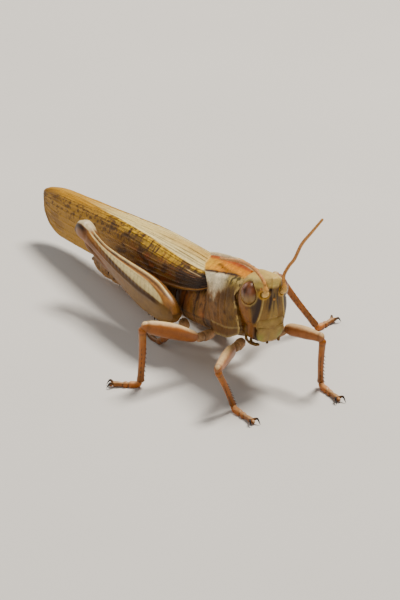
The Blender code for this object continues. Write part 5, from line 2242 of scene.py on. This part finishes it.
@dataclass
class Studio:
    """A pale floor, soft lights and the camera, set about the model."""

    stance: Stance
    turn: float = 1.04951
    down: float = 0.40869
    distance: float = 500.0
    view_height: float = 69.50075
    offset: Span = (5.80563, 9.51929)
    sensor: float = 36.0
    floor_half: float = 3.0
    floor_tones: Sequence[Sequence[float]] = ((0.62, 0.6, 0.57, 1), (0.68, 0.66, 0.63, 1))
    sky: Sequence[float] = (1.0, 0.97, 0.93, 1.0)
    sky_power: float = 0.14
    aim: Spot = (0, -0.008, 0.01)
    lamps: Sequence[Lamp] = (
        Lamp("key", (0.16, 0.12, 0.5), 0.18, 5.2, (1.0, 0.94, 0.84)),
        Lamp("fill", (-0.2, -0.45, 0.28), 0.5, 1.0, (1.0, 0.95, 0.9)),
        Lamp("rim", (-0.4, 0.3, 0.3), 0.35, 0.8, (1.0, 0.98, 0.96)),
    )

    def axes(self) -> tuple[Vector, Vector, Vector]:
        """The camera's right, up and forward directions."""
        ct, st, cd, sd = math.cos(self.turn), math.sin(self.turn), math.cos(self.down), math.sin(self.down)
        return Vector((st, -ct, 0.0)), Vector((ct * sd, st * sd, cd)), Vector((ct * cd, st * cd, -sd))

    def camera(self) -> None:
        """Make the camera, framed on the point of the floor below the fore hips."""
        right, up, forward = self.axes()
        centre = Vector((-self.stance.left, -self.stance.back, 0.0))
        aim = centre - right * self.offset[0] + up * self.offset[1]
        data = bpy.data.cameras.new("camera")
        data.sensor_fit = "VERTICAL"
        data.sensor_height = self.sensor
        data.lens = self.sensor * self.distance / self.view_height
        data.clip_start = 0.01
        data.dof.use_dof = False
        made = bpy.data.objects.new("camera", data)
        made.matrix_world = Matrix((right, up, -forward)).transposed().to_4x4()
        made.location = (aim - forward * self.distance) * MM
        bpy.context.scene.collection.objects.link(made)
        bpy.context.scene.camera = made

    def floor(self) -> None:
        """A plain pale floor with the faintest unevenness of tone."""
        mesh = bmesh.new()
        bmesh.ops.create_grid(mesh, x_segments=2, y_segments=2, size=self.floor_half)
        data = bpy.data.meshes.new("floor")
        mesh.to_mesh(data)
        mesh.free()
        mix = Recipe("Pale floor")
        noise = mix.add("TexNoise", {"Vector": mix.place(), "Scale": 30.0})
        ramp = mix.add("ValToRGB", {"Fac": noise.outputs["Fac"]})
        for element, tone in zip(ramp.color_ramp.elements, self.floor_tones):
            element.color = tone
        mix.feed(mix.shader, {"Base Color": ramp.outputs["Color"], "Roughness": 0.85})
        data.materials.append(mix.material)
        made = bpy.data.objects.new("floor", data)
        bpy.context.scene.collection.objects.link(made)

    def build(self) -> None:
        """Set up the floor, the lights, the surroundings and the camera."""
        self.floor()
        right, _, forward = self.axes()
        level = Vector((forward.x, forward.y, 0.0)).normalized()
        for lamp in self.lamps:
            lamp.build(right, level, Vector(self.aim))
        world = bpy.data.worlds.new("studio")
        world.use_nodes = True
        sky = world.node_tree.nodes["Background"].inputs
        sky["Color"].default_value = self.sky
        sky["Strength"].default_value = self.sky_power
        bpy.context.scene.world = world
        self.camera()


def main() -> None:
    """Build the whole model over its solids."""
    logging.basicConfig(level=logging.INFO, format="%(message)s")
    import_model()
    shop = Workshop()
    head = Head()
    for part in (head, Feelers(), Mouth(head), Saddle(), Trunk(), Wings(), Legs(), HindLegs()):
        LOG.info("building %s", type(part).__name__)
        part.build(shop)
    Studio(shop.stance).build()


if __name__ == "__main__":
    main()
